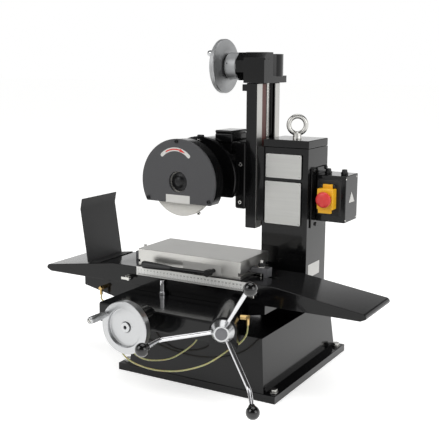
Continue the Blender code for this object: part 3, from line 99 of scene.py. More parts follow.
class GrinderColours(bpy.types.PropertyGroup):
    enamel: colour("Enamel", "Black enamel on the castings and sheet steel", "#0b0b0c")
    guard: colour("Guard", "Grey enamel on the wheel guard's cover", "#454547")
    steel: colour("Steel", "Ground and turned bare steel", "#cbcac6")
    aluminium: colour("Aluminium", "Turned aluminium of the handwheels", "#c3c4c5")
    chrome: colour("Chrome", "Bright plated rods and fittings", "#d9d9db")
    brass: colour("Brass", "Turned brass of the oil fittings", "#cdb078")
    phenolic: colour("Phenolic", "Moulded black knobs", "#0a0a0a")
    plastic: colour("Plastic", "Matte black plastic of the switch", "#161617")
    yellow: colour("Yellow", "Flap over the switch", "#f3b61e")
    red: colour("Red", "Stop knob and stop key", "#dc3a38")
    green: colour("Green", "Start key", "#1e8a3c")
    abrasive: colour("Abrasive", "White grinding wheel", "#e2e0da")
    tube: colour("Oil tube", "Translucent nylon tube", "#cdc489")
    label: colour("Label", "Blank label film", "#d6d5d1")
    # this colour is also used as painted shade in screw sockets, small holes, the front cap's groove and the
    # grips' slots
    mark: colour("Marks", "Printed scale and numbers", "#2b2b2c")
    arrow: colour("Arrow", "Printed direction arrow", "#d8392f")
    primer: colour("Primer", "Red-brown strip in the ram's groove", "#5c2c25")
    floor: colour("Floor", "Studio floor", "#f4f4f3")


class GrinderSizes(bpy.types.PropertyGroup):
    casting_edge: length("Casting edge", "Rounding of the cast edges", 3 * MM)
    sheet_edge: length("Sheet edge", "Rounding of folded and machined edges", 1.2 * MM)
    turning_steps: IntProperty(name="Turning steps", description="Faces around a turned piece",
                               min=24, max=200, default=96)


def colours():
    return bpy.context.scene.grinder_colours


def sizes():
    return bpy.context.scene.grinder_sizes


# ---------------------------------------------------------------- materials
def add(mat, kind, inputs=None, **settings):
    """Adds a node with its settings; a value goes in its socket, and another node's output is linked."""
    node = mat.node_tree.nodes.new(kind)
    for key, value in settings.items():
        setattr(node, key, value)
    for key, value in (inputs or {}).items():
        if isinstance(value, bpy.types.NodeSocket):
            mat.node_tree.links.new(value, node.inputs[key])
        else:
            node.inputs[key].default_value = value
    return node


def surface(name, tint, roughness, metallic=0.0, **sockets):
    """New Principled material with its uniform values set on the shader's own sockets."""
    mat = bpy.data.materials.new(name)
    mat.use_nodes = True
    shader = mat.node_tree.nodes["Principled BSDF"]
    shader.inputs["Base Color"].default_value = tint
    shader.inputs["Roughness"].default_value = roughness
    shader.inputs["Metallic"].default_value = metallic
    for key, value in sockets.items():
        shader.inputs[key.replace("_", " ")].default_value = value
    mat.diffuse_color = tint
    return mat


def grain(mat, size_mm, gloss, relief_mm, tone=0.0, stretch=(1, 1, 1), detail=3.0):
    """Grain of one size: roughness between two values, a fine relief, and a change of tone."""
    shader = mat.node_tree.nodes["Principled BSDF"]
    links = mat.node_tree.links
    place = add(mat, "ShaderNodeTexCoord")
    scaled = add(mat, "ShaderNodeMapping", {"Vector": place.outputs["Object"], "Scale": stretch})
    noise = add(mat, "ShaderNodeTexNoise", {
        "Vector": scaled.outputs["Vector"], "Scale": 1 / (size_mm * MM), "Detail": detail})
    rough = add(mat, "ShaderNodeMapRange", {
        "Value": noise.outputs["Fac"], "From Min": 0.3, "From Max": 0.7,
        "To Min": gloss[0], "To Max": gloss[1]})
    links.new(rough.outputs["Result"], shader.inputs["Roughness"])
    bump = add(mat, "ShaderNodeBump", {"Height": noise.outputs["Fac"], "Distance": relief_mm * MM})
    links.new(bump.outputs["Normal"], shader.inputs["Normal"])
    if tone:
        tint = tuple(shader.inputs["Base Color"].default_value)
        dark = (*[c * (1 - tone) for c in tint[:3]], 1.0)
        clouds = add(mat, "ShaderNodeTexNoise", {
            "Vector": scaled.outputs["Vector"], "Scale": 1 / (6 * size_mm * MM), "Detail": 4.0})
        shade = add(mat, "ShaderNodeMix", {0: clouds.outputs["Fac"], 6: dark, 7: tint}, data_type="RGBA")
        links.new(shade.outputs[2], shader.inputs["Base Color"])
    return mat


def turning_marks(mat, centre, axis, pitch_mm, gloss, tone=0.1):
    """Fine circular tool marks around an axis, drawn coarse enough to show."""
    shader = mat.node_tree.nodes["Principled BSDF"]
    links = mat.node_tree.links
    place = add(mat, "ShaderNodeTexCoord")
    centred = add(mat, "ShaderNodeMapping", {
        "Vector": place.outputs["Object"], "Location": tuple(-c for c in centre)})
    rings = add(mat, "ShaderNodeTexWave", {
        "Vector": centred.outputs["Vector"], "Scale": 0.314 / (pitch_mm * MM), "Distortion": 0.6,
        "Detail": 3.0, "Detail Scale": 2.0}, wave_type="RINGS", rings_direction=axis)
    rough = add(mat, "ShaderNodeMapRange", {
        "Value": rings.outputs["Fac"], "To Min": gloss[0], "To Max": gloss[1]})
    links.new(rough.outputs["Result"], shader.inputs["Roughness"])
    tint = tuple(shader.inputs["Base Color"].default_value)
    dark = (*[c * (1 - tone) for c in tint[:3]], 1.0)
    shade = add(mat, "ShaderNodeMix", {0: rings.outputs["Fac"], 6: dark, 7: tint}, data_type="RGBA")
    links.new(shade.outputs[2], shader.inputs["Base Color"])
    bump = add(mat, "ShaderNodeBump", {"Height": rings.outputs["Fac"], "Distance": 0.01 * MM})
    links.new(bump.outputs["Normal"], shader.inputs["Normal"])
    return mat


def black_enamel(name):
    """Sprayed two-pack enamel: a soft even gloss with a faint orange peel about 3 mm across."""
    mat = surface(name, colours().enamel, 0.16, Specular_IOR_Level=0.16,
                  Coat_Weight=0.28, Coat_Roughness=0.05)
    return grain(mat, 3.0, (0.13, 0.2), 0.012, tone=0.25)


def grey_enamel(name):
    """Flat grey enamel with a fine powder texture, which hides every reflection."""
    mat = surface(name, colours().guard, 0.5)
    return grain(mat, 0.9, (0.46, 0.6), 0.03, tone=0.12)


def ground_steel(name):
    """Surface-ground steel: long fine scratches along the table, bright and slightly uneven."""
    mat = surface(name, colours().steel, 0.3, 1.0)
    return grain(mat, 1.2, (0.28, 0.36), 0.002, tone=0.07, stretch=(0.04, 1, 1), detail=4.0)


def milled_steel(name):
    """Scraped and milled steel of the ram's ways, its marks along the height."""
    mat = surface(name, colours().steel, 0.35, 1.0)
    return grain(mat, 1.0, (0.28, 0.42), 0.006, tone=0.12, stretch=(1, 1, 0.05), detail=4.0)


def bright_steel(name):
    """Bright zinc-plated fasteners."""
    return grain(surface(name, colours().steel, 0.2, 1.0), 1.5, (0.16, 0.28), 0.004, tone=0.1)


def satin_steel(name):
    """Forged and tumbled steel of the eyebolt: bright, but too soft to mirror."""
    return grain(surface(name, colours().steel, 0.32, 1.0), 1.8, (0.26, 0.38), 0.006, tone=0.1)


def black_oxide(name):
    """Oil-blackened steel of the clamps and the chuck's lever."""
    mat = surface(name, linear("#2a2a2b"), 0.35, 0.7)
    return grain(mat, 0.8, (0.3, 0.45), 0.008, tone=0.3)


def phosphated_steel(name):
    """Grey phosphated steel of the clamping straps."""
    return grain(surface(name, linear("#77777a"), 0.4, 0.9), 0.8, (0.34, 0.5), 0.01, tone=0.25)


def chrome_plate(name):
    """Polished plate, almost a mirror, with faint polishing swirls."""
    return grain(surface(name, colours().chrome, 0.08, 1.0), 4.0, (0.06, 0.13), 0.002, tone=0.05)


def turned_brass(name):
    """Turned brass, warm and lightly tarnished."""
    return grain(surface(name, colours().brass, 0.25, 1.0), 1.5, (0.18, 0.34), 0.006, tone=0.3)


def brushed_aluminium(name):
    """Rolled aluminium plates with a brushed grain along their length."""
    mat = surface(name, linear("#c4c4c1"), 0.36, 1.0)
    return grain(mat, 0.9, (0.3, 0.44), 0.004, tone=0.14, stretch=(0.05, 1, 1), detail=5.0)


def cross_wheel_aluminium(name):
    """Cast aluminium faced on a lathe: a satin skin with rings around the front wheel's axis."""
    mat = surface(name, colours().aluminium, 0.35, 1.0)
    return turning_marks(mat, JOINTS["cross_screw_turn"]["pos_m"], "Y", 1.6, (0.3, 0.4))


def shaded_lift_wheel_aluminium(name):
    """The same satin skin with rings around the top wheel's axis, in a darker colour that is painted shade.
    """
    mat = surface(name, linear("#a6a7a8"), 0.4, 1.0)
    return turning_marks(mat, JOINTS["lift_wheel_turn"]["pos_m"], "X", 1.6, (0.4, 0.52))


def grip_aluminium(name):
    """Turned aluminium handle, finer and brighter than the wheels."""
    return grain(surface(name, colours().aluminium, 0.25, 1.0), 0.8, (0.2, 0.32), 0.004, tone=0.08)


def phenolic_resin(name):
    """Compression-moulded phenolic: deep black and glossy, with faint flow marks."""
    mat = surface(name, colours().phenolic, 0.1, Coat_Weight=0.4, Coat_Roughness=0.04)
    return grain(mat, 9.0, (0.07, 0.14), 0.01, tone=0.2)


def satin_rubber(name):
    """Moulded dark grip with a satin skin."""
    return grain(surface(name, linear("#232324"), 0.42), 0.7, (0.36, 0.5), 0.01, tone=0.2)


def matte_plastic(name):
    """Spark-textured black plastic of the switch's bezel and glands."""
    return grain(surface(name, colours().plastic, 0.45), 0.6, (0.4, 0.55), 0.02, tone=0.2)


def yellow_plastic(name):
    """Moulded yellow plastic with a soft sheen."""
    return grain(surface(name, colours().yellow, 0.38), 0.8, (0.32, 0.44), 0.01, tone=0.06)


def red_plastic(name):
    """Moulded red plastic with a soft sheen."""
    return grain(surface(name, colours().red, 0.35), 0.8, (0.3, 0.42), 0.01, tone=0.08)


def green_plastic(name):
    """Moulded green plastic with a soft sheen."""
    return grain(surface(name, colours().green, 0.38), 0.8, (0.32, 0.44), 0.01, tone=0.08)


def vitrified_abrasive(name):
    """White fused alumina in a glassy bond: dull, open grains drawn about 1 mm across."""
    return grain(surface(name, colours().abrasive, 0.85), 1.0, (0.8, 0.95), 0.12, tone=0.12, detail=6.0)


def nylon_tube(name):
    """Yellowish translucent nylon with the oil just showing in it."""
    mat = surface(name, colours().tube, 0.22, Transmission_Weight=0.25, Subsurface_Weight=0.2)
    return grain(mat, 5.0, (0.18, 0.28), 0.01, tone=0.15)


def label_film(name):
    """Blank printed film, smooth and slightly glossy."""
    return grain(surface(name, colours().label, 0.35), 6.0, (0.3, 0.42), 0.004, tone=0.04)


def neutral_film(name):
    """Blank neutral-grey film."""
    return grain(surface(name, linear("#a9a8a5"), 0.4), 6.0, (0.34, 0.46), 0.004, tone=0.05)


def scale_steel(name):
    """Satin-chromed rule, almost white, with a fine grain along its length."""
    mat = surface(name, linear("#e3e3e0"), 0.42, 0.55)
    return grain(mat, 0.8, (0.38, 0.5), 0.003, tone=0.05, stretch=(0.05, 1, 1))


def ink_and_painted_shade(name):
    """Black filling of the rule's etched marks; the same black is painted shade in screw sockets, small
    holes, the front cap's groove and the grips' slots.
    """
    return grain(surface(name, colours().mark, 0.6), 1.0, (0.55, 0.7), 0.002, tone=0.2)


def arrow_ink(name):
    """Red screen-printed ink."""
    return grain(surface(name, colours().arrow, 0.45), 1.5, (0.4, 0.52), 0.002, tone=0.06)


def primer_paint(name):
    """Red-brown primer left in the ram's groove."""
    return grain(surface(name, colours().primer, 0.5), 2.0, (0.42, 0.6), 0.02, tone=0.2)


def splash_enamel(name):
    """Matt black sheet, powder coated."""
    return grain(surface(name, linear("#1d1d1e"), 0.5), 1.0, (0.44, 0.58), 0.02, tone=0.15)


FINISHES = {}


def finish(builder):
    """The material that a builder makes, made once."""
    if builder not in FINISHES:
        FINISHES[builder] = builder(builder.__name__)
    return FINISHES[builder]


# ---------------------------------------------------------------- places taken from the frame
RECORD = frame["record"]
BODY_OF = {node: body for body, nodes in RECORD["behaviour"]["bodies"].items() for node in nodes}
SLOT_OF = {part["node"]: part["material_slot"] for part in RECORD["subparts"]}


def span(node):
    """Lowest and highest corner of a CAD node."""
    low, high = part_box(node)
    return Vector(low), Vector(high)


def middle(node):
    low, high = span(node)
    return (low + high) / 2


def joint_at(name):
    return Vector(JOINTS[name]["pos_m"])


# ---------------------------------------------------------------- shapes
def aimed(centre, direction, up=Z):
    """Matrix whose +Z points along the direction and whose +Y leans towards up."""
    forward = Vector(direction).normalized()
    across = Vector(up).cross(forward)
    if across.length < 1e-6:
        across = Y.cross(forward)
    across.normalize()
    return Matrix.Translation(centre) @ Matrix((across, forward.cross(across), forward)).transposed().to_4x4()


def ease(shape, width, segments=2, angle=40):
    """Rounds every edge that is sharper than the angle."""
    edges = [e for e in shape.edges if e.is_manifold and e.calc_face_angle(0) > math.radians(angle)]
    if width and edges:
        bmesh.ops.bevel(shape, geom=edges, offset=width, offset_type="OFFSET", segments=segments,
                        profile=0.5, affect="EDGES", clamp_overlap=True, material=-1)
    return shape


def block(low, high, edge=0.0, segments=2):
    """Box between two corners."""
    low, high = Vector(low), Vector(high)
    shape = bmesh.new()
    bmesh.ops.create_cube(shape, size=1)
    bmesh.ops.scale(shape, vec=high - low, verts=shape.verts)
    bmesh.ops.translate(shape, vec=(low + high) / 2, verts=shape.verts)
    return ease(shape, edge, segments)


def rod(start, end, radius, tip_radius=None, steps=32, edge=0.0):
    """Round bar, or a cone, between two points."""
    start, end = Vector(start), Vector(end)
    shape = bmesh.new()
    bmesh.ops.create_cone(
        shape, cap_ends=True, segments=steps, radius1=radius, radius2=tip_radius or radius,
        depth=(end - start).length, matrix=aimed((start + end) / 2, end - start))
    return ease(shape, edge)


def hexagon(centre, direction, across_flats, height, edge=0.5 * MM):
    """Nut or bolt head, standing on its centre."""
    centre, direction = Vector(centre), Vector(direction).normalized()
    return rod(centre, centre + direction * height, across_flats / math.sqrt(3), steps=6, edge=edge)


def ball(centre, radius, across=48, high=32):
    shape = bmesh.new()
    bmesh.ops.create_uvsphere(shape, u_segments=across, v_segments=high, radius=radius,
                              matrix=Matrix.Translation(centre))
    return shape


def turned(profile, centre, axis, steps=None):
    """Turned shape from a profile of (radius, distance along the axis)."""
    centre, axis = Vector(centre), Vector(axis).normalized()
    side = axis.orthogonal().normalized()
    shape = bmesh.new()
    verts = [shape.verts.new(centre + side * r + axis * h) for r, h in profile]
    edges = [shape.edges.new(pair) for pair in zip(verts, verts[1:])]
    bmesh.ops.spin(shape, geom=verts + edges, cent=centre, axis=axis, angle=2 * math.pi,
                   steps=steps or sizes().turning_steps, use_merge=True)
    bmesh.ops.remove_doubles(shape, verts=shape.verts, dist=1e-6)
    bmesh.ops.recalc_face_normals(shape, faces=shape.faces)
    return shape


def mm_turned(profile, centre, axis, steps=None):
    """Turned shape whose profile is in millimetres."""
    return turned([(r * MM, h * MM) for r, h in profile], centre, axis, steps)


def slab(loops, place, thickness, edge=0.0, segments=2):
    """Flat plate from an outline and its holes, as (x, y) in the place's own plane."""
    shape = bmesh.new()
    for loop in loops:
        verts = [shape.verts.new((x, y, 0)) for x, y in loop]
        for pair in zip(verts, verts[1:] + verts[:1]):
            shape.edges.new(pair)
    bmesh.ops.triangle_fill(shape, edges=shape.edges, normal=Z, use_beauty=True, use_dissolve=False)
    bmesh.ops.dissolve_limit(shape, angle_limit=0.01, verts=shape.verts, edges=shape.edges)
    grown = bmesh.ops.extrude_face_region(shape, geom=shape.faces[:])["geom"]
    moved = [v for v in grown if isinstance(v, bmesh.types.BMVert)]
    bmesh.ops.translate(shape, vec=Z * thickness, verts=moved)
    bmesh.ops.recalc_face_normals(shape, faces=shape.faces)
    ease(shape, edge, segments)
    shape.transform(place)
    return shape


def arc(centre, radius, start, end, steps):
    """Points on an arc, in the plane, its angles in degrees."""
    angles = [math.radians(start + (end - start) * k / steps) for k in range(steps + 1)]
    return [(centre[0] + radius * math.cos(a), centre[1] + radius * math.sin(a)) for a in angles]


def ring(radius, steps=48, centre=(0, 0)):
    return arc(centre, radius, 0, 360, steps)[:-1]


def card(width, height, corner=0.0, steps=5):
    """Outline of a plate with round corners, about its middle."""
    corner = corner or 0.2 * MM
    points = []
    for turn, (sx, sy) in enumerate(((1, 1), (-1, 1), (-1, -1), (1, -1))):
        hub = (sx * (width / 2 - corner), sy * (height / 2 - corner))
        points += arc(hub, corner, 90 * turn, 90 * turn + 90, steps)
    return points


def tube(points, radius, steps=16, closed=False):
    """Round tube along points: a ring carried along, each in the plane across the path."""
    points = [Vector(p) for p in points]
    shape = bmesh.new()
    rings = []
    up = (points[1] - points[0]).orthogonal()
    for k, point in enumerate(points):
        before = points[k - 1] if k or closed else point
        after = points[(k + 1) % len(points)] if k + 1 < len(points) or closed else point
        along = (after - before).normalized()
        up = (up - along * up.dot(along)).normalized()
        place = Matrix.Translation(point) @ Matrix((up, along.cross(up), along)).transposed().to_4x4()
        made = bmesh.ops.create_circle(shape, cap_ends=False, segments=steps, radius=radius, matrix=place)
        rings.append([e for e in {e for v in made["verts"] for e in v.link_edges}])
    pairs = list(zip(rings, rings[1:])) + ([(rings[-1], rings[0])] if closed else [])
    for one, two in pairs:
        bmesh.ops.bridge_loops(shape, edges=one + two)
    if not closed:
        for end in (rings[0], rings[-1]):
            bmesh.ops.contextual_create(shape, geom=end)
    bmesh.ops.recalc_face_normals(shape, faces=shape.faces)
    return shape


def copied(node, width=0.0, segments=2, angle=40):
    """Merged copy of a CAD node with its edges rounded."""
    shape = bmesh.new()
    shape.from_mesh(frame["nodes"][node].data)
    bmesh.ops.remove_doubles(shape, verts=shape.verts, dist=0.01 * MM)
    bmesh.ops.dissolve_limit(shape, angle_limit=math.radians(1), verts=shape.verts, edges=shape.edges)
    return ease(shape, width, segments, angle)


def lettering(words, height, place):
    """Words as thin raised letters about the place's origin, facing its +Z."""
    curve = bpy.data.curves.new("words", "FONT")
    curve.body = words
    curve.size = height
    curve.align_x = "CENTER"
    curve.align_y = "CENTER"
    curve.extrude = FILM / 2
    curve.resolution_u = 2
    holder = bpy.data.objects.new("words", curve)
    mesh = bpy.data.meshes.new_from_object(holder)
    mesh.transform(place)
    shape = bmesh.new()
    shape.from_mesh(mesh)
    bpy.data.objects.remove(holder)
    bpy.data.meshes.remove(mesh)
    bpy.data.curves.remove(curve)
    return shape


class Piece:
    """A piece in the making: shapes are added one at a time, each with its own finish."""

    def __init__(self, name, *nodes, body=None, slot=None):
        self.name = name
        self.nodes = nodes
        self.body = body or BODY_OF[nodes[0]]
        self.slot = slot or SLOT_OF[nodes[0]]
        self.mesh = bmesh.new()
        self.finishes = []

    def add(self, builder, *shapes):
        mat = finish(builder)
        if mat not in self.finishes:
            self.finishes.append(mat)
        for shape in shapes:
            for face in shape.faces:
                face.material_index = self.finishes.index(mat)
                face.smooth = True
            carrier = bpy.data.meshes.new("carrier")
            shape.to_mesh(carrier)
            shape.free()
            self.mesh.from_mesh(carrier)
            bpy.data.meshes.remove(carrier)
        return self

    def done(self, sharp=35):
        data = bpy.data.meshes.new(self.name)
        self.mesh.to_mesh(data)
        self.mesh.free()
        for mat in self.finishes:
            data.materials.append(mat)
        data.set_sharp_from_angle(angle=math.radians(sharp))
        obj = bpy.data.objects.new(self.name, data)
        bpy.context.scene.collection.objects.link(obj)
        flat = obj.modifiers.new("even_normals", "WEIGHTED_NORMAL")
        flat.keep_sharp = True
        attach(obj, self.body)
        if self.nodes:
            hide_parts(*self.nodes)
        return obj


def socket_screw(piece, centre, direction, radius, height, builder, steps=28):
    """Cap screw: a round head with a hexagonal socket in it, whose floor is a black disc of painted shade."""
    place = aimed(centre, direction)
    piece.add(builder, slab([ring(radius, steps), ring(radius * 0.5, 6)], place, height, 0.12 * radius))
    # the black disc below the socket's opening is painted shade of the socket's depth
    floor = Vector(centre) + Vector(direction).normalized() * height * 0.35
    piece.add(ink_and_painted_shade, rod(centre, floor, radius * 0.7, steps=16))


def rivet(piece, centre, direction, radius, builder):
    """Low round rivet head."""
    reach = radius / MM
    piece.add(builder, mm_turned([(reach, 0), (reach * 0.85, 0.6), (reach * 0.45, 0.95), (0, 1.05)],
                                 centre, direction, 20))


# ---------------------------------------------------------------- pieces made of CAD nodes as they are
def finished(name, node, builder, width=0.0, angle=40, sharp=35):
    """CAD node as it is, with the edges above the angle rounded and a finish of its own."""
    Piece(name, node).add(builder, copied(node, width, 2, angle)).done(sharp)


def enamelled(node, width, builder=black_enamel):
    finished(node + "_finish", node, builder, width)


def blank(name, body, outline, place, builder):
    """Bare film where the real object has a label."""
    Piece(name, body=body, slot="blank_label").add(builder, slab([outline], place, FILM)).done()


# ---------------------------------------------------------------- castings
class GRINDER_OT_castings(bpy.types.Operator):
    """Base, column, lid, saddle and apron in black enamel, with their cast edges rounded"""
    bl_idname = "grinder.castings"
    bl_label = "Castings"

    def execute(self, context):
        edge = sizes().casting_edge
        fold = sizes().sheet_edge
        enamelled("base_casting", edge)
        enamelled("column_casting", edge)
        enamelled("column_lid", edge)
        enamelled("saddle_casting", fold)
        enamelled("apron", edge)
        enamelled("switch_bracket", fold)
        for where in ("front_left", "front_right", "rear_left", "rear_right"):
            finished("hex_bolt_" + where, "foot_bolt_" + where, bright_steel, 0.4 * MM)
        return {"FINISHED"}


# middle (x, z), width and height of the column's two plates, in mm
COLUMN_PLATES = {
    "column_plate_upper": (111.8, 520, 99, 60.6),
    "column_plate_lower": (111, 425.6, 100, 109.6),
}
PLATE_THICKNESS = 0.9 * MM
RIVET_INSET = 4.5 * MM    # from a plate's edges to its rivets
EYE_RADIUS = 22 * MM      # of the eyebolt's ring, to the middle of its bar
EYE_BAR = 6 * MM          # radius of that bar


class GRINDER_OT_column_trim(bpy.types.Operator):
    """Bare plates, blank labels and the lifting eyebolt on the column"""
    bl_idname = "grinder.column_trim"
    bl_label = "Column trim"

    def execute(self, context):
        for name, row in COLUMN_PLATES.items():
            self.plate(name, *(value * MM for value in row))
        place = aimed((span("column_casting")[1].x, 93.5 * MM, 251 * MM), X)
        blank("column_side_label", "root", card(71 * MM, 34 * MM, 2 * MM), place, label_film)
        self.eyebolt()
        return {"FINISHED"}

    def plate(self, name, x, z, width, height):
        """Bare aluminium plate on the column's front, riveted at its corners."""
        front = span("column_casting")[0].y
        piece = Piece(name, body="root", slot="blank_label")
        place = aimed((x, front, z), -Y)
        piece.add(brushed_aluminium, slab([card(width, height, 3 * MM)], place, PLATE_THICKNESS, 0.2 * MM))
        for side in (-1, 1):
            for rise in (-1, 1):
                corner = (x + side * (width / 2 - RIVET_INSET), front - PLATE_THICKNESS,
                          z + rise * (height / 2 - RIVET_INSET))
                rivet(piece, corner, -Y, 1.9 * MM, bright_steel)
        piece.done()

    def eyebolt(self):
        """Ring of round bar on a stem that flares into a round foot."""
        low, high = span("eyebolt")
        centre = Vector(((low.x + high.x) / 2, (low.y + high.y) / 2, high.z - 23 * MM))
        turn = Matrix.Rotation(math.radians(30), 3, "Z")
        loop = [centre + turn @ Vector((x, 0, z)) for x, z in ring(EYE_RADIUS, 72)]
        piece = Piece("lifting_eye", "eyebolt")
        piece.add(satin_steel, tube(loop, EYE_BAR, 24, closed=True))
        stem = (centre.z - EYE_RADIUS + 1 * MM - low.z) / MM
        piece.add(satin_steel, mm_turned(
            [(0, 0), (15.5, 0), (16.5, 1), (16.5, 5.5), (15.5, 7), (13, 9), (11.5, 12), (10.5, stem),
             (7, stem + 4), (0, stem + 4)],
            (centre.x, centre.y, low.z), Z, 48))
        piece.done()


# ---------------------------------------------------------------- lifting head
THREAD_PITCH, THREAD_DEPTH = 4.0, 1.2     # of the lifting screw, in mm
GROUND_STRIPS = ((0.5 * MM, 29 * MM), (104 * MM, 129.5 * MM))     # on the ram's side, from its front
PRIMED_STRIP = (29 * MM, 51 * MM)         # between them, from the front too


class GRINDER_OT_ram(bpy.types.Operator):
    """Ram with its ground edges, primed groove and lifting screw, and the gearbox on top"""
    bl_idname = "grinder.ram"
    bl_label = "Ram and gearbox"

    def execute(self, context):
        enamelled("ram", 0)
        self.side_strips()
        self.screw()
        self.gearbox()
        return {"FINISHED"}

    def side_strips(self):
        """Ground edges and the red-brown primer on the ram's right face."""
        low, high = span("ram")
        skin = 0.12 * MM
        strips = Piece("ram_ground_edges", body="head", slot="ground_steel")
        for near, far in GROUND_STRIPS:
            strips.add(milled_steel, block((high.x - skin, low.y + near, low.z + 3 * MM),
                                           (high.x + skin, low.y + far, high.z - 2 * MM), 0.1 * MM, 1))
        near, far = PRIMED_STRIP
        strips.add(primer_paint, block((high.x - skin, low.y + near, low.z + 3 * MM),
                                       (high.x + 0.8 * skin, low.y + far, high.z - 2 * MM)))
        strips.done()

    def screw(self):
        """Lifting screw, its thread drawn as separate ridges."""
        low, high = span("lift_screw")
        centre = middle("lift_screw")
        radius = (high.x - low.x) / 2 / MM
        root = radius - THREAD_DEPTH
        top = (high.z - low.z) / MM
        profile = [(0, 0), (root, 0)]
        for k in range(int(top / THREAD_PITCH) - 1):
            base = 2 + k * THREAD_PITCH
            profile += [(root, base), (radius, base + 0.6), (radius, base + 1.8), (root, base + 2.4)]
        profile += [(root, top), (0, top)]
        piece = Piece("lifting_screw", "lift_screw")
        piece.add(bright_steel, mm_turned(profile, (centre.x, centre.y, low.z), Z, 24))
        piece.done(60)

    def gearbox(self):
        low, high = span("lift_gearbox")
        piece = Piece("gearbox_casting", "lift_gearbox")
        piece.add(black_enamel, copied("lift_gearbox", 1.4 * MM, 2, 30))
        # a flat black disc on the gearbox's right face: painted shade standing for a hole
        hole = Vector((high.x - 0.3 * MM, low.y + 14 * MM, high.z - 17 * MM))
        piece.add(ink_and_painted_shade, rod(hole, hole + X * 0.5 * MM, 2.4 * MM, steps=20))
        piece.done(28)


MOTOR_BARREL, MOTOR_RIM = 104.0, 109.0    # radii, in mm
MOTOR_FACE = 22.0         # front of the motor's flange, in mm
MOTOR_DROP = 47 * MM      # from the spindle axis down to the motor's flat underside
FLANGE_SCREWS = (97 * MM, (90, 180, 270))     # radius of their circle, and their angles
COWL_HOOPS = (38, 47, 56, 65, 74)         # radii of the fan cowl's rings, in mm
COWL_SPOKES = 6


class GRINDER_OT_motor(bpy.types.Operator):
    """Motor with its flange, lugs, fan cowl and terminal box, and the bracket that holds it"""
    bl_idname = "grinder.motor"
    bl_label = "Motor"

    def execute(self, context):
        low, high = span("motor")
        centre = Vector((joint_at("spindle_spin").x, 0, joint_at("spindle_spin").z))
        near, rear = low.y / MM, high.y / MM
        piece = Piece("motor_body", "motor")
        piece.add(black_enamel, self.barrel(centre, near, rear))
        self.cowl(piece, centre, rear)
        bmesh.ops.bisect_plane(
            piece.mesh, geom=piece.mesh.verts[:] + piece.mesh.edges[:] + piece.mesh.faces[:],
            dist=0.001 * MM, plane_co=centre - Z * MOTOR_DROP, plane_no=-Z, clear_outer=True)
        bmesh.ops.holes_fill(piece.mesh, edges=[e for e in piece.mesh.edges if e.is_boundary])
        circle, angles = FLANGE_SCREWS
        for angle in (math.radians(a) for a in angles):
            spot = Vector((math.cos(angle) * circle, (MOTOR_FACE - 0.2) * MM, math.sin(angle) * circle))
            spot += centre
            socket_screw(piece, spot, -Y, 5 * MM, 5 * MM, bright_steel)
        top = centre.z + MOTOR_BARREL * MM
        piece.add(black_enamel, block((centre.x - 9 * MM, (MOTOR_FACE + 1) * MM, top - 8 * MM),
                                      (centre.x + 9 * MM, (MOTOR_FACE + 12) * MM, top + 9 * MM), 3 * MM, 4))
        piece.add(black_enamel, block((centre.x + 46 * MM, 48 * MM, centre.z + 60 * MM),
                                      (centre.x + 82 * MM, 108 * MM, centre.z + 95 * MM), 1 * MM))
        piece.done()
        self.terminal_box()
        enamelled("motor_bracket", 2 * MM)
        self.bracket_screws()
        return {"FINISHED"}

    def barrel(self, centre, near, rear):
        """Neck, flange, grooved barrel and the dished rear, as one turning."""
        face, rim, side = MOTOR_FACE, MOTOR_RIM, MOTOR_BARREL
        return mm_turned([
            (11, near), (44.5, near), (46, near + 1.5), (46, face - 14), (50, face - 6), (60, face),
            (rim - 2, face), (rim, face + 2), (rim, face + 10), (rim - 2, face + 12), (side + 2, face + 12.6),
            (side, face + 15), (side, 62), (side - 1.2, 63), (side - 1.2, 65), (side, 66),
            (side, rear - 34), (side - 1.6, rear - 33), (side - 1.6, rear - 31), (side, rear - 30),
            (side, rear - 14), (side - 2, rear - 7), (side - 6, rear - 2.5), (side - 12, rear - 0.5),
            (84, rear), (81, rear), (81, rear - 5), (30, rear - 5), (30, rear), (0, rear)],
            centre, Y, 120)

    def cowl(self, piece, centre, rear):
        """Wire hoops and spokes over the fan."""
        for radius in COWL_HOOPS:
            hoop = [centre + Vector((x, (rear - 1.6) * MM, z)) for x, z in ring(radius * MM, 90)]
            piece.add(black_enamel, tube(hoop, 1.5 * MM, 8, closed=True))
        for k in range(COWL_SPOKES):
            turn = Matrix.Rotation(math.radians(30) + 2 * math.pi * k / COWL_SPOKES, 4, "Y")
            spoke = block((28 * MM, (rear - 3.4) * MM, -2.5 * MM), (83 * MM, (rear - 0.4) * MM, 2.5 * MM),
                          EASED)
            spoke.transform(Matrix.Translation(centre) @ turn)
            piece.add(black_enamel, spoke)

    def terminal_box(self):
        low, high = span("terminal_box")
        split = high.z - 8 * MM
        piece = Piece("terminal_cover", "terminal_box")
        piece.add(black_enamel, block(low, (high.x, high.y, split - 0.6 * MM), 3 * MM, 3),
                  block((low.x, low.y, split), high, 3 * MM, 3),
                  block((low.x + 2 * MM, low.y + 2 * MM, low.z + 2 * MM), high - Vector((2, 2, 2)) * MM))
        for x in (low.x + 8 * MM, high.x - 8 * MM):
            for y in (low.y + 8 * MM, high.y - 8 * MM):
                rivet(piece, (x, y, high.z - 1.2 * MM), Z, 3 * MM, bright_steel)
        piece.done()

    def bracket_screws(self):
        """Cap screws on the bracket's front."""
        low, high = span("motor_bracket")
        piece = Piece("bracket_screws", body="head", slot="ground_steel")
        for z in (low.z + 18 * MM, high.z - 60 * MM):
            socket_screw(piece, (high.x - 14 * MM, low.y - 0.1 * MM, z), -Y, 5 * MM, 4 * MM, bright_steel)
        piece.done()


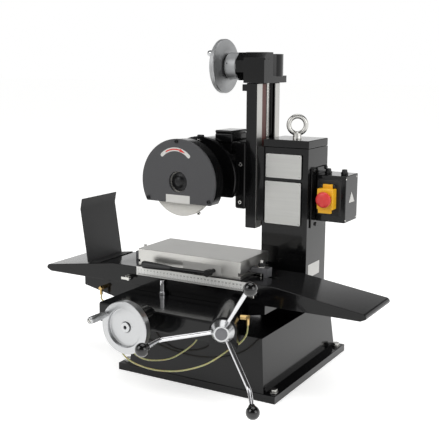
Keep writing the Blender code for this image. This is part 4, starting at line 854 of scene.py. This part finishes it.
COVER_SCREWS = ((-129, 580.5), (-216, 431), (-34, 433))     # places (x, z), in mm
GUARD_EYE = 27 * MM       # radius of the hole in front of the spindle's nut
BAND_HUB = (-7 * MM, 26 * MM)     # centre of the arched label, from the spindle axis
BAND_OUTER, BAND_WIDTH = 62 * MM, 9.3 * MM
BAND_START, BAND_END = 46, 134    # degrees
ARROW_TAIL, ARROW_NECK, ARROW_TIP = 120, 76, 58     # degrees
ARROW_HALF, ARROW_WING = 1.6 * MM, 4 * MM     # half widths of its shaft and of its head


def on_band(radius, angle):
    """Point at a radius and an angle in degrees from the arched label's centre."""
    turn = math.radians(angle)
    return (BAND_HUB[0] + radius * math.cos(turn), BAND_HUB[1] + radius * math.sin(turn))


class GRINDER_OT_guard(bpy.types.Operator):
    """Wheel guard with its cover screws, blank labels and arrow, the wheel and its nut"""
    bl_idname = "grinder.guard"
    bl_label = "Guard and wheel"

    def execute(self, context):
        self.centre = joint_at("spindle_spin")
        self.cover()
        enamelled("guard_body", 1.5 * MM)
        self.labels()
        self.wheel()
        return {"FINISHED"}

    def cover(self):
        low, high = span("guard_cover")
        radius = (high.x - low.x) / 2
        drop = self.centre.z - low.z
        edge = math.degrees(math.asin(drop / radius))
        outline = arc((0, 0), radius, -edge, 180 + edge, 96)
        place = aimed((self.centre.x, high.y, self.centre.z), -Y)
        piece = Piece("guard_front", "guard_cover")
        piece.add(grey_enamel, slab([outline, ring(GUARD_EYE, 64)], place, high.y - low.y, 1.6 * MM, 3))
        for x, z in COVER_SCREWS:
            socket_screw(piece, (x * MM, low.y - 0.1 * MM, z * MM), -Y, 4.6 * MM, 3.6 * MM, black_oxide)
        piece.done()

    def labels(self):
        """Blank films in place of the guard's two labels, and the arrow that shows how the wheel turns."""
        low = span("guard_cover")[0]
        mid = BAND_OUTER - BAND_WIDTH / 2
        place = aimed((self.centre.x, low.y, self.centre.z), -Y)
        points = arc(BAND_HUB, BAND_OUTER, BAND_START, BAND_END, 40)
        points += arc(on_band(mid, BAND_END), BAND_WIDTH / 2, BAND_END, BAND_END + 180, 10)[1:-1]
        points += arc(BAND_HUB, BAND_OUTER - BAND_WIDTH, BAND_END, BAND_START, 40)
        points += arc(on_band(mid, BAND_START), BAND_WIDTH / 2, BAND_START - 180, BAND_START, 10)[1:-1]
        film = Piece("guard_blank_labels", body="head", slot="blank_label")
        film.add(label_film, slab([points], place, FILM))
        lower = aimed((self.centre.x, low.y, low.z + 10.4 * MM), -Y)
        film.add(label_film, slab([card(72 * MM, 20.5 * MM, 1 * MM)], lower, FILM))
        film.done()
        shaft = arc(BAND_HUB, mid + ARROW_HALF, ARROW_TAIL, ARROW_NECK, 16)
        shaft += [on_band(mid + ARROW_WING, ARROW_NECK), on_band(mid, ARROW_TIP),
                  on_band(mid - ARROW_WING, ARROW_NECK)]
        shaft += arc(BAND_HUB, mid - ARROW_HALF, ARROW_NECK, ARROW_TAIL, 16)
        arrow = Piece("guard_turning_arrow", body="head", slot="red_plastic")
        arrow.add(arrow_ink, slab([shaft], place, 2 * FILM))
        arrow.done()

    def wheel(self):
        low, high = span("grinding_wheel")
        radius = (high.x - low.x) / 2 / MM
        thick = (high.y - low.y) / MM
        place = Vector((self.centre.x, low.y, self.centre.z))
        wheel = Piece("abrasive_wheel", "grinding_wheel")
        wheel.add(vitrified_abrasive, mm_turned([
            (16.2, 0), (radius - 1, 0), (radius, 1), (radius, thick - 1), (radius - 1, thick),
            (16.2, thick), (16.2, 0)], place, Y, 120))
        wheel.done()
        nut = Piece("spindle_nut", "spindle")
        nut.add(black_oxide, copied("spindle", 0))
        front = span("spindle")[0].y
        nut.add(black_oxide, mm_turned(
            [(0, 0), (5, 0.3), (10, 1.6), (14, 4), (17, 8), (24, 9), (24, 12), (0, 12)],
            (self.centre.x, front, self.centre.z), Y, 48))
        nut.done()


def grip_pin(piece, grip, out):
    """End of the pin that a handwheel's grip turns on."""
    piece.add(bright_steel, rod(grip - out * 2 * MM, grip + out * 4 * MM, 4 * MM, steps=24))


class GRINDER_OT_lift_wheel(bpy.types.Operator):
    """Top handwheel with its dial collar and turning grip"""
    bl_idname = "grinder.lift_wheel"
    bl_label = "Top handwheel"

    def execute(self, context):
        low, high = span("lift_handwheel")
        centre = joint_at("lift_wheel_turn")
        grip = joint_at("lift_grip_spin")
        face = Vector((grip.x, centre.y, centre.z))
        radius = (high.z - low.z) / 2 / MM
        collar = (span("lift_gearbox")[0].x - face.x) / MM
        piece = Piece("lift_wheel_rim", "lift_handwheel")
        piece.add(shaded_lift_wheel_aluminium, mm_turned([
            (0, 6), (13, 6), (15, 7), (15, 9), (0.62 * radius, 9), (0.70 * radius, 5), (0.72 * radius, 0.8),
            (0.735 * radius, 0), (radius - 1.5, 0), (radius, 1.5), (radius, 11), (radius - 1.5, 13),
            (0.9 * radius, 13.6), (0.75 * radius, 15), (0.62 * radius, 17.5), (0.53 * radius, 19.5),
            (0, 19.5)], face, X, 128))
        piece.add(black_oxide, mm_turned([(0, 19), (32.5, 19), (32.5, 28), (0, 28)], face, X, 96))
        piece.add(shaded_lift_wheel_aluminium, mm_turned([
            (0, 24), (33, 24), (33, 25), (36, 28), (36, collar - 3), (34.5, collar - 1.2),
            (34.5, collar - 0.5), (0, collar - 0.5)], face, X, 128))
        piece.add(black_oxide, rod(face, (high.x, centre.y, centre.z), 8 * MM))
        # a flat black dot on the collar's front: painted shade standing for a small hole
        spot = face + Vector((33 * MM, -35.6 * MM, 8 * MM))
        piece.add(ink_and_painted_shade, rod(spot, spot - Y * 0.5 * MM, 1.7 * MM, steps=16))
        grip_pin(piece, grip, -X)
        piece.done()
        turned_grip("lift_wheel_grip", "lift_grip", grip, -X)
        return {"FINISHED"}


def turned_grip(name, node, base, out):
    """Handle that widens from the wheel to its end, where a slotted screw holds it."""
    low, high = span(node)
    long = abs((high - low).dot(out)) / MM
    piece = Piece(name, node)
    piece.add(grip_aluminium, mm_turned([
        (4.2, 0.4), (6.2, 0.4), (6.8, 1), (6.8, 3), (6.3, 3.6), (6.3, 4.6), (7, 6), (8.2, 0.35 * long),
        (8.8, 0.62 * long), (8.7, long - 7), (8, long - 2.2), (6.8, long - 0.4), (6.2, long), (5, long),
        (4.6, long - 0.6), (4.6, long - 2.4), (0, long - 2.4)], base, out, 64))
    end = base + out * (long - 2.4) * MM
    across = out.orthogonal().normalized()
    for side in (-1, 1):
        half = aimed(end + across * side * 2.5 * MM, out, across)
        piece.add(bright_steel, slab([card(7.4 * MM, 3.4 * MM, 1.2 * MM)], half, 1.6 * MM, 0.3 * MM))
    # the black disc on the floor of the end's recess shows between the screw's two halves: painted shade of
    # the slot
    piece.add(ink_and_painted_shade, rod(end, end + out * 0.3 * MM, 4.4 * MM))
    piece.done()


# ---------------------------------------------------------------- cross feed and capstan
class GRINDER_OT_cross_wheel(bpy.types.Operator):
    """Front handwheel with its centre cap, screw and turning grip"""
    bl_idname = "grinder.cross_wheel"
    bl_label = "Front handwheel"

    def execute(self, context):
        centre = joint_at("cross_screw_turn")
        grip = joint_at("cross_grip_spin")
        low, high = span("cross_handwheel")
        radius = (high.z - low.z) / 2 / MM
        rim = 0.74 * radius
        hub = 43.0          # length of the hub, in mm
        piece = Piece("cross_wheel_rim", "cross_handwheel")
        piece.add(cross_wheel_aluminium, mm_turned([
            (0, 12.5), (13.4, 12.5), (13.4, 9.3), (14.2, 9), (rim - 4, 9), (rim - 1.6, 8), (rim - 1, 6),
            (rim - 0.6, 1), (rim + 0.4, 0), (radius - 1.5, 0), (radius, 1.5), (radius, 17),
            (radius - 1.5, 19), (rim + 4, 19), (rim - 2, 15), (26, 16.5), (24, 18), (22, hub - 1),
            (21, hub), (8, hub), (8, 80), (0, 80)], centre, Y, 128))
        cap = aimed(centre + Y * 12.4 * MM, -Y)
        piece.add(grip_aluminium, slab([ring(12 * MM, 64), ring(4.6 * MM, 6)], cap, 7.4 * MM, 0.8 * MM, 3))
        # black discs behind the cap and inside its hex hole: painted shade of the groove round the cap and of
        # the socket
        piece.add(ink_and_painted_shade, rod(centre + Y * 13 * MM, centre + Y * 12.2 * MM, 13 * MM),
                  rod(centre + Y * 12.3 * MM, centre + Y * 10.5 * MM, 6 * MM))
        grip_pin(piece, grip, -Y)
        piece.done()
        turned_grip("cross_wheel_grip", "cross_grip", grip, -Y)
        enamelled("cross_screw", 0, bright_steel)
        return {"FINISHED"}


CAPSTAN_ROD = 5 * MM      # radius
ROD_OUT, ROD_FORWARD = 128 * MM, 60 * MM      # where a rod bends, from the capstan's centre
ROD_BEND = 12 * MM        # length of the bend on either side of that place


class GRINDER_OT_capstan(bpy.types.Operator):
    """Capstan hub with its three bent chrome rods and black balls"""
    bl_idname = "grinder.capstan"
    bl_label = "Capstan"

    def execute(self, context):
        centre = joint_at("capstan_turn")
        axis = Vector(JOINTS["capstan_turn"]["axis"])
        if axis.y > 0:
            axis = -axis
        hub = Piece("capstan_turned_hub", "capstan_hub")
        hub.add(grip_aluminium, copied("capstan_hub", 0.6 * MM, 2, 20))
        hub.add(phosphated_steel, mm_turned(
            [(0, 16.1), (13, 16.1), (13.6, 16.4), (13.6, 17.1), (13, 17.5), (0, 17.5)], centre, axis, 64))
        hub.done(30)
        for where in ("left", "lower", "upper"):
            self.spoke(where, centre, axis)
        enamelled("pinion_shaft", 0, bright_steel)
        return {"FINISHED"}

    def spoke(self, where, centre, axis):
        """One bent rod, straight out and then forward, with its ball."""
        knob = "capstan_ball_" + where
        low, high = span(knob)
        tip = (low + high) / 2
        reach = tip - centre
        out = (reach - axis * reach.dot(axis)).normalized()
        root = centre + out * 18 * MM
        bend = centre + out * ROD_OUT + axis * ROD_FORWARD
        first, last = (bend - root).normalized(), (tip - bend).normalized()
        line = [root, bend - first * ROD_BEND]
        for t in (k / 8 for k in range(1, 8)):
            line.append(bend - first * ROD_BEND * (1 - t) ** 2 + last * ROD_BEND * t * t)
        line += [bend + last * ROD_BEND, tip - last * ROD_BEND]
        piece = Piece("chrome_capstan_rod_" + where, "capstan_rod_" + where)
        piece.add(chrome_plate, tube(line, CAPSTAN_ROD, 32))
        piece.done(60)
        piece = Piece("phenolic_" + knob, knob)
        piece.add(phenolic_resin, ball(tip, (high.z - low.z) / 2 - 0.5 * MM, 64, 40))
        piece.add(phenolic_resin, rod(tip - last * 19.5 * MM, tip - last * 15 * MM, 8 * MM, edge=0.6 * MM))
        piece.done(60)


# ---------------------------------------------------------------- table
class GRINDER_OT_table(bpy.types.Operator):
    """Table, rule, stop dogs, post and splash guard"""
    bl_idname = "grinder.table"
    bl_label = "Table"

    def execute(self, context):
        enamelled("table_casting", 1.2 * MM)
        enamelled("table_rack", 0, bright_steel)
        self.rule()
        for dog in ("stop_dog_left", "stop_dog_right"):
            finished("wing_" + dog, dog, bright_steel, 0.6 * MM, 30)
        finished("stop_post_pin", "stop_post", chrome_plate, EASED, sharp=50)
        finished("splash_sheet", "splash_guard", splash_enamel, EASED, sharp=20)
        return {"FINISHED"}

    def rule(self):
        """Rule with a mark every millimetre, longer at fives and tens, and a number every centimetre."""
        low, high = span("steel_rule")
        piece = Piece("engraved_rule", "steel_rule")
        piece.add(scale_steel, block(low, high, 0.3 * MM))
        face = low.y
        start = low.x + 5 * MM
        for k in range(int((high.x - low.x) / MM) - 9):
            tall = 9 if k % 10 == 0 else 6.5 if k % 5 == 0 else 4
            x = start + k * MM
            piece.add(ink_and_painted_shade, block((x - 0.16 * MM, face - FILM / 2, low.z + 1 * MM),
                                       (x + 0.16 * MM, face + FILM, low.z + (1 + tall) * MM)))
            if k % 10 == 0:
                place = aimed((x, face, low.z + 14.5 * MM), -Y)
                piece.add(ink_and_painted_shade, lettering(str(k // 10), 5.5 * MM, place))
        piece.done()


class GRINDER_OT_chuck(bpy.types.Operator):
    """Magnetic chuck with its clamps, lever and blank label"""
    bl_idname = "grinder.chuck"
    bl_label = "Magnetic chuck"

    def execute(self, context):
        enamelled("magnetic_chuck", 0, ground_steel)
        place = aimed((-21.8 * MM, span("magnetic_chuck")[0].y, 275.2 * MM), -Y)
        blank("chuck_blank_label", "table", card(110 * MM, 27 * MM, 1.5 * MM), place, neutral_film)
        for side in ("left", "right"):
            finished("strap_" + side, "chuck_strap_" + side, phosphated_steel)
            self.stud(side)
        finished("lever_bar", "chuck_lever", black_oxide, EASED, sharp=40)
        finished("lever_grip", "chuck_lever_grip", satin_rubber, sharp=60)
        return {"FINISHED"}

    def stud(self, side):
        """Stud with a washer and a hexagon nut on the strap."""
        node = "clamp_stud_" + side
        seat = middle(node)
        seat.z = span(node)[1].z - 18 * MM
        top = seat + Z * 2.2 * MM
        piece = Piece("clamp_nut_" + side, node)
        piece.add(bright_steel, copied(node), rod(seat, top, 10 * MM, edge=0.4 * MM))
        piece.add(black_oxide, hexagon(top, Z, 14 * MM, 9 * MM))
        piece.done()


# ---------------------------------------------------------------- oil lines
def smooth_route(points, steps=4):
    """Catmull-Rom points through a route, as the CAD lays its tubes."""
    points = [Vector(p) for p in points]
    padded = [2 * points[0] - points[1]] + points + [2 * points[-1] - points[-2]]
    line = []
    for a, b, c, d in zip(padded, padded[1:], padded[2:], padded[3:]):
        for k in range(steps):
            t = k / steps
            line.append(0.5 * (2 * b + (c - a) * t + (2 * a - 5 * b + 4 * c - d) * t ** 2
                               + (3 * b - a - 3 * c + d) * t ** 3))
    return line + [points[-1]]


class GRINDER_OT_oil_lines(bpy.types.Operator):
    """Two nylon oil tubes with their brass elbows"""
    bl_idname = "grinder.oil_lines"
    bl_label = "Oil lines"

    def execute(self, context):
        for node, route in OIL_ROUTES.items():
            line = smooth_route(route)
            curve = bpy.data.curves.new(node + "_line", "CURVE")
            curve.dimensions = "3D"
            curve.bevel_depth = OIL_TUBE_RADIUS
            curve.bevel_resolution = 3
            curve.use_fill_caps = True
            spline = curve.splines.new("POLY")
            spline.points.add(len(line) - 1)
            for point, spot in zip(spline.points, line):
                point.co = (*spot, 1)
            spline.use_smooth = True
            curve.materials.append(finish(nylon_tube))
            piece = bpy.data.objects.new(node + "_line", curve)
            bpy.context.scene.collection.objects.link(piece)
            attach(piece, BODY_OF[node])
            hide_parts(node)
        for side in ("left", "right"):
            finished("brass_elbow_" + side, "oil_elbow_" + side, turned_brass, 0.4 * MM, sharp=40)
        enamelled("lift_nut", 0.4 * MM, turned_brass)
        return {"FINISHED"}


# ---------------------------------------------------------------- switch
BOX_FACE = 89 * MM        # front of the switch box; what stands in front of it is plastic
BEZEL_FACE = 86 * MM      # front of the raised bezel, on which the black frame lies
BEZEL_DROP = 30 * MM      # from the flap's hinge down to the bezel's middle
BEZEL_OUTER = (62 * MM, 90 * MM, 8 * MM)      # width, height and corner radius
BEZEL_INNER = (53 * MM, 81 * MM, 5 * MM)
TRIANGLE = ((129, 456), (112.5, 429.5), (150.7, 428.5))   # label's corners (y, z), in mm


class GRINDER_OT_switch(bpy.types.Operator):
    """Switch box with its bezel, yellow flap, red stop knob, two keys and cable glands"""
    bl_idname = "grinder.switch"
    bl_label = "Switch"

    def execute(self, context):
        self.box()
        finished("yellow_flap", "switch_flap", yellow_plastic, 0.8 * MM, 50, 30)
        self.knob()
        finished("start_button_key", "start_button", green_plastic, 0.8 * MM)
        finished("stop_button_key", "stop_button", red_plastic, 0.8 * MM)
        for side in ("left", "right"):
            finished("gland_" + side, "cable_gland_" + side, matte_plastic, 0.6 * MM, 30)
        return {"FINISHED"}

    def box(self):
        """Enamelled box with a black bezel frame, four rivets and a blank triangle on its side."""
        low, high = span("switch_box")
        piece = Piece("switch_housing", "switch_box")
        piece.add(black_enamel, copied("switch_box", 1.2 * MM, 2, 60))
        hinge = joint_at("flap_open")
        bezel = aimed((hinge.x, BEZEL_FACE, hinge.z - BEZEL_DROP), -Y)
        piece.add(matte_plastic, slab([card(*BEZEL_OUTER), card(*BEZEL_INNER)], bezel, 1.6 * MM, EASED))
        plastic = piece.finishes.index(finish(matte_plastic))
        for face in piece.mesh.faces:
            if face.calc_center_median().y < BOX_FACE - 0.1 * MM:
                face.material_index = plastic
        for z in (low.z + 7 * MM, high.z - 7 * MM):
            for y in (low.y + 14 * MM, high.y - 8 * MM):
                rivet(piece, (high.x, y, z), X, 2.6 * MM, bright_steel)
        piece.done()
        mid_y, mid_z = (sum(corner[k] for corner in TRIANGLE) / 3 for k in (0, 1))
        place = aimed((high.x, mid_y * MM, mid_z * MM), X)
        outline = [((y - mid_y) * MM, (z - mid_z) * MM) for y, z in TRIANGLE]
        blank("switch_blank_label", "root", outline, place, label_film)

    def knob(self):
        """Mushroom knob with a raised tongue down its face."""
        low, high = span("emergency_stop_knob")
        centre = (low + high) / 2
        radius = (high.z - low.z) / 2 / MM
        deep = (high.y - low.y) / MM
        piece = Piece("red_mushroom", "emergency_stop_knob")
        piece.add(red_plastic, mm_turned([
            (0, 0), (0.35 * radius, 0.15), (0.62 * radius, 0.8), (0.82 * radius, 2.2), (0.95 * radius, 4.4),
            (radius, 7.2), (0.985 * radius, 9.4), (0.9 * radius, 10.6), (0.55 * radius, 11.4),
            (0.5 * radius, deep), (0, deep)], (centre.x, low.y, centre.z), Y, 72))
        tongue = aimed((centre.x, low.y + 1.2 * MM, centre.z - 5 * MM), -Y)
        piece.add(red_plastic, slab([card(11 * MM, 24 * MM, 5.4 * MM)], tongue, 1.6 * MM, EASED))
        piece.done(60)


# ---------------------------------------------------------------- stage
CAMERA_AT = (1.0166, -1.849, 0.775)
CAMERA_TURN, CAMERA_RISE, CAMERA_ROLL = 30.0, 10.5, 0.29      # degrees
CAMERA_LENS = 68.23
SENSOR = 36.0
CAMERA_REACH = 100.0      # metres
FLOOR_SIZE = 60.0
STRIP_WAY = Vector((-0.5, -0.866, 0))     # black card: towards the front left
STRIP_AWAY, STRIP_DEEP, STRIP_LONG = 2.5, 1.0, 6.0    # how far out, and its sides
# place, aim, size in metres and power in watts
LAMPS = {
    "key": ((-1.6, -2.6, 2.6), (0, 0, 0.35), 2.2, 42),
    "right_fill": ((3.0, -0.6, 1.6), (0, 0, 0.4), 2.0, 26),
    "top": ((0, 0.4, 3.2), (0, 0, 0.3), 2.4, 30),
}
AMBIENT_GREY = 0.55       # plain light from all round
CEILING_GREY = 0.06       # what a glossy face shows of the dark ceiling
CEILING_BAND = (0.24, 0.42)               # upward parts of a ray's direction between which it darkens
FRONT_GREY = 0.85         # and of the side of the studio in front of the machine
FRONT_BAND = (-0.5, 0.0)  # backward parts between which that side ends
FLOOR_LIFT = 0.5          # what the camera and reflections see added to the floor's own light


class GRINDER_OT_stage(bpy.types.Operator):
    """Pale floor, white surround, soft lamps and the camera"""
    bl_idname = "grinder.stage"
    bl_label = "Stage"

    def execute(self, context):
        scene = context.scene
        scene.view_settings.view_transform = "Standard"
        self.camera(scene)
        self.sheet("floor", FLOOR_SIZE, FLOOR_SIZE, Matrix.Identity(4), studio_floor)
        self.dark_strip()
        self.world(scene)
        for name, row in LAMPS.items():
            self.lamp(name, *row)
        return {"FINISHED"}

    def camera(self, scene):
        """Camera from its place and three angles."""
        data = bpy.data.cameras.new("camera")
        data.sensor_width = SENSOR
        data.lens = CAMERA_LENS
        data.clip_end = CAMERA_REACH
        turn, rise, roll = (math.radians(a) for a in (CAMERA_TURN, CAMERA_RISE, CAMERA_ROLL))
        back = Vector((math.sin(turn) * math.cos(rise), -math.cos(turn) * math.cos(rise), math.sin(rise)))
        right = Vector((math.cos(turn), math.sin(turn), 0))
        up = back.cross(right)
        right, up = (math.cos(roll) * right + math.sin(roll) * up,
                     math.cos(roll) * up - math.sin(roll) * right)
        camera = bpy.data.objects.new("camera", data)
        camera.matrix_world = Matrix.Translation(CAMERA_AT) @ Matrix((right, up, back)).transposed().to_4x4()
        scene.collection.objects.link(camera)
        scene.camera = camera

    def sheet(self, name, across, deep, place, builder):
        """Flat stage piece of two sizes at a place."""
        shape = bmesh.new()
        bmesh.ops.create_grid(shape, x_segments=1, y_segments=1, size=0.5)
        bmesh.ops.scale(shape, vec=(across, deep, 1), verts=shape.verts)
        shape.transform(place)
        data = bpy.data.meshes.new(name)
        shape.to_mesh(data)
        shape.free()
        data.materials.append(finish(builder))
        sheet = bpy.data.objects.new(name, data)
        bpy.context.scene.collection.objects.link(sheet)
        return sheet

    def dark_strip(self):
        """Black card just above the floor at the front left, seen only in reflections."""
        place = Matrix.Rotation(math.radians(-CAMERA_TURN), 4, "Z")
        place.translation = STRIP_WAY * STRIP_AWAY + Z * 5 * MM
        strip = self.sheet("dark_strip", STRIP_LONG, STRIP_DEEP, place, black_card)
        strip.visible_camera = False
        strip.visible_shadow = False
        strip.visible_diffuse = False

    def world(self, scene):
        """White to the camera, white below and dark overhead in reflections, soft grey as plain light."""
        world = bpy.data.worlds.new("studio")
        world.use_nodes = True
        nodes, links = world.node_tree.nodes, world.node_tree.links
        rays = add(world, "ShaderNodeLightPath")
        away = add(world, "ShaderNodeTexCoord")
        split = add(world, "ShaderNodeSeparateXYZ", {0: away.outputs["Generated"]})
        height, depth = (add(world, "ShaderNodeMapRange", {
            "Value": split.outputs[key], "From Min": low, "From Max": high, "To Min": start, "To Max": end},
            interpolation_type="SMOOTHSTEP") for key, (low, high), start, end in (
                ("Z", CEILING_BAND, 1.0, CEILING_GREY), ("Y", FRONT_BAND, FRONT_GREY, 1.0)))
        glossy = add(world, "ShaderNodeMath", {0: height.outputs["Result"], 1: depth.outputs["Result"]},
                     operation="MULTIPLY")
        mirrored = add(world, "ShaderNodeMath", {
            0: rays.outputs["Is Glossy Ray"], 1: rays.outputs["Is Transmission Ray"]}, operation="MAXIMUM")
        plain = add(world, "ShaderNodeMix", {
            0: mirrored.outputs[0], 2: AMBIENT_GREY, 3: glossy.outputs[0]}, data_type="FLOAT")
        level = add(world, "ShaderNodeMix", {
            0: rays.outputs["Is Camera Ray"], 2: plain.outputs[0], 3: 1.0}, data_type="FLOAT")
        links.new(level.outputs[0], nodes["Background"].inputs["Strength"])
        nodes["Background"].inputs["Color"].default_value = (1, 1, 1, 1)
        scene.world = world

    def lamp(self, name, place, aim, size, power):
        data = bpy.data.lights.new(name, "AREA")
        data.shape = "SQUARE"
        data.size = size
        data.energy = power
        lamp = bpy.data.objects.new(name, data)
        lamp.matrix_world = aimed(place, Vector(place) - Vector(aim))
        bpy.context.scene.collection.objects.link(lamp)


def black_card(name):
    """Matt black studio card."""
    return grain(surface(name, linear("#0a0a0a"), 0.95), 30.0, (0.9, 1.0), 0.01)


def studio_floor(name):
    """Painted studio floor: its own light is lifted to white for the camera and in reflections."""
    mat = grain(surface(name, colours().floor, 0.95), 40.0, (0.9, 1.0), 0.01)
    shader = mat.node_tree.nodes["Principled BSDF"]
    shader.inputs["Specular IOR Level"].default_value = 0.0
    rays = add(mat, "ShaderNodeLightPath")
    seen = add(mat, "ShaderNodeMath", {0: rays.outputs["Is Camera Ray"], 1: rays.outputs["Is Glossy Ray"]},
               operation="MAXIMUM")
    lifted = add(mat, "ShaderNodeMath", {0: seen.outputs[0], 1: FLOOR_LIFT}, operation="MULTIPLY")
    glow = add(mat, "ShaderNodeEmission", {"Strength": lifted.outputs[0]})
    both = add(mat, "ShaderNodeAddShader", {0: shader.outputs["BSDF"], 1: glow.outputs["Emission"]})
    mat.node_tree.links.new(both.outputs["Shader"], mat.node_tree.nodes["Material Output"].inputs["Surface"])
    return mat


# ---------------------------------------------------------------- panel and run
OPERATORS = (
    GRINDER_OT_stage, GRINDER_OT_oil_lines, GRINDER_OT_castings, GRINDER_OT_column_trim, GRINDER_OT_ram,
    GRINDER_OT_motor, GRINDER_OT_guard, GRINDER_OT_lift_wheel, GRINDER_OT_cross_wheel, GRINDER_OT_capstan,
    GRINDER_OT_table, GRINDER_OT_chuck, GRINDER_OT_switch)


class GRINDER_PT_panel(bpy.types.Panel):
    """Lists the steps that finish the grinder"""
    bl_idname = "GRINDER_PT_panel"
    bl_label = "Surface Grinder"
    bl_space_type = "VIEW_3D"
    bl_region_type = "UI"
    bl_category = "Grinder"

    def draw(self, context):
        for kind in OPERATORS:
            self.layout.operator(kind.bl_idname)
        for group in (context.scene.grinder_sizes, context.scene.grinder_colours):
            for key in group.__annotations__:
                self.layout.prop(group, key)


CLASSES = (GrinderColours, GrinderSizes, GRINDER_PT_panel) + OPERATORS


def register():
    for kind in CLASSES:
        bpy.utils.register_class(kind)
    bpy.types.Scene.grinder_colours = PointerProperty(type=GrinderColours)
    bpy.types.Scene.grinder_sizes = PointerProperty(type=GrinderSizes)


def unregister():
    del bpy.types.Scene.grinder_sizes
    del bpy.types.Scene.grinder_colours
    for kind in reversed(CLASSES):
        bpy.utils.unregister_class(kind)


def main():
    register()
    for kind in OPERATORS:
        group, name = kind.bl_idname.split(".")
        getattr(getattr(bpy.ops, group), name)()


if __name__ == "__main__":
    main()
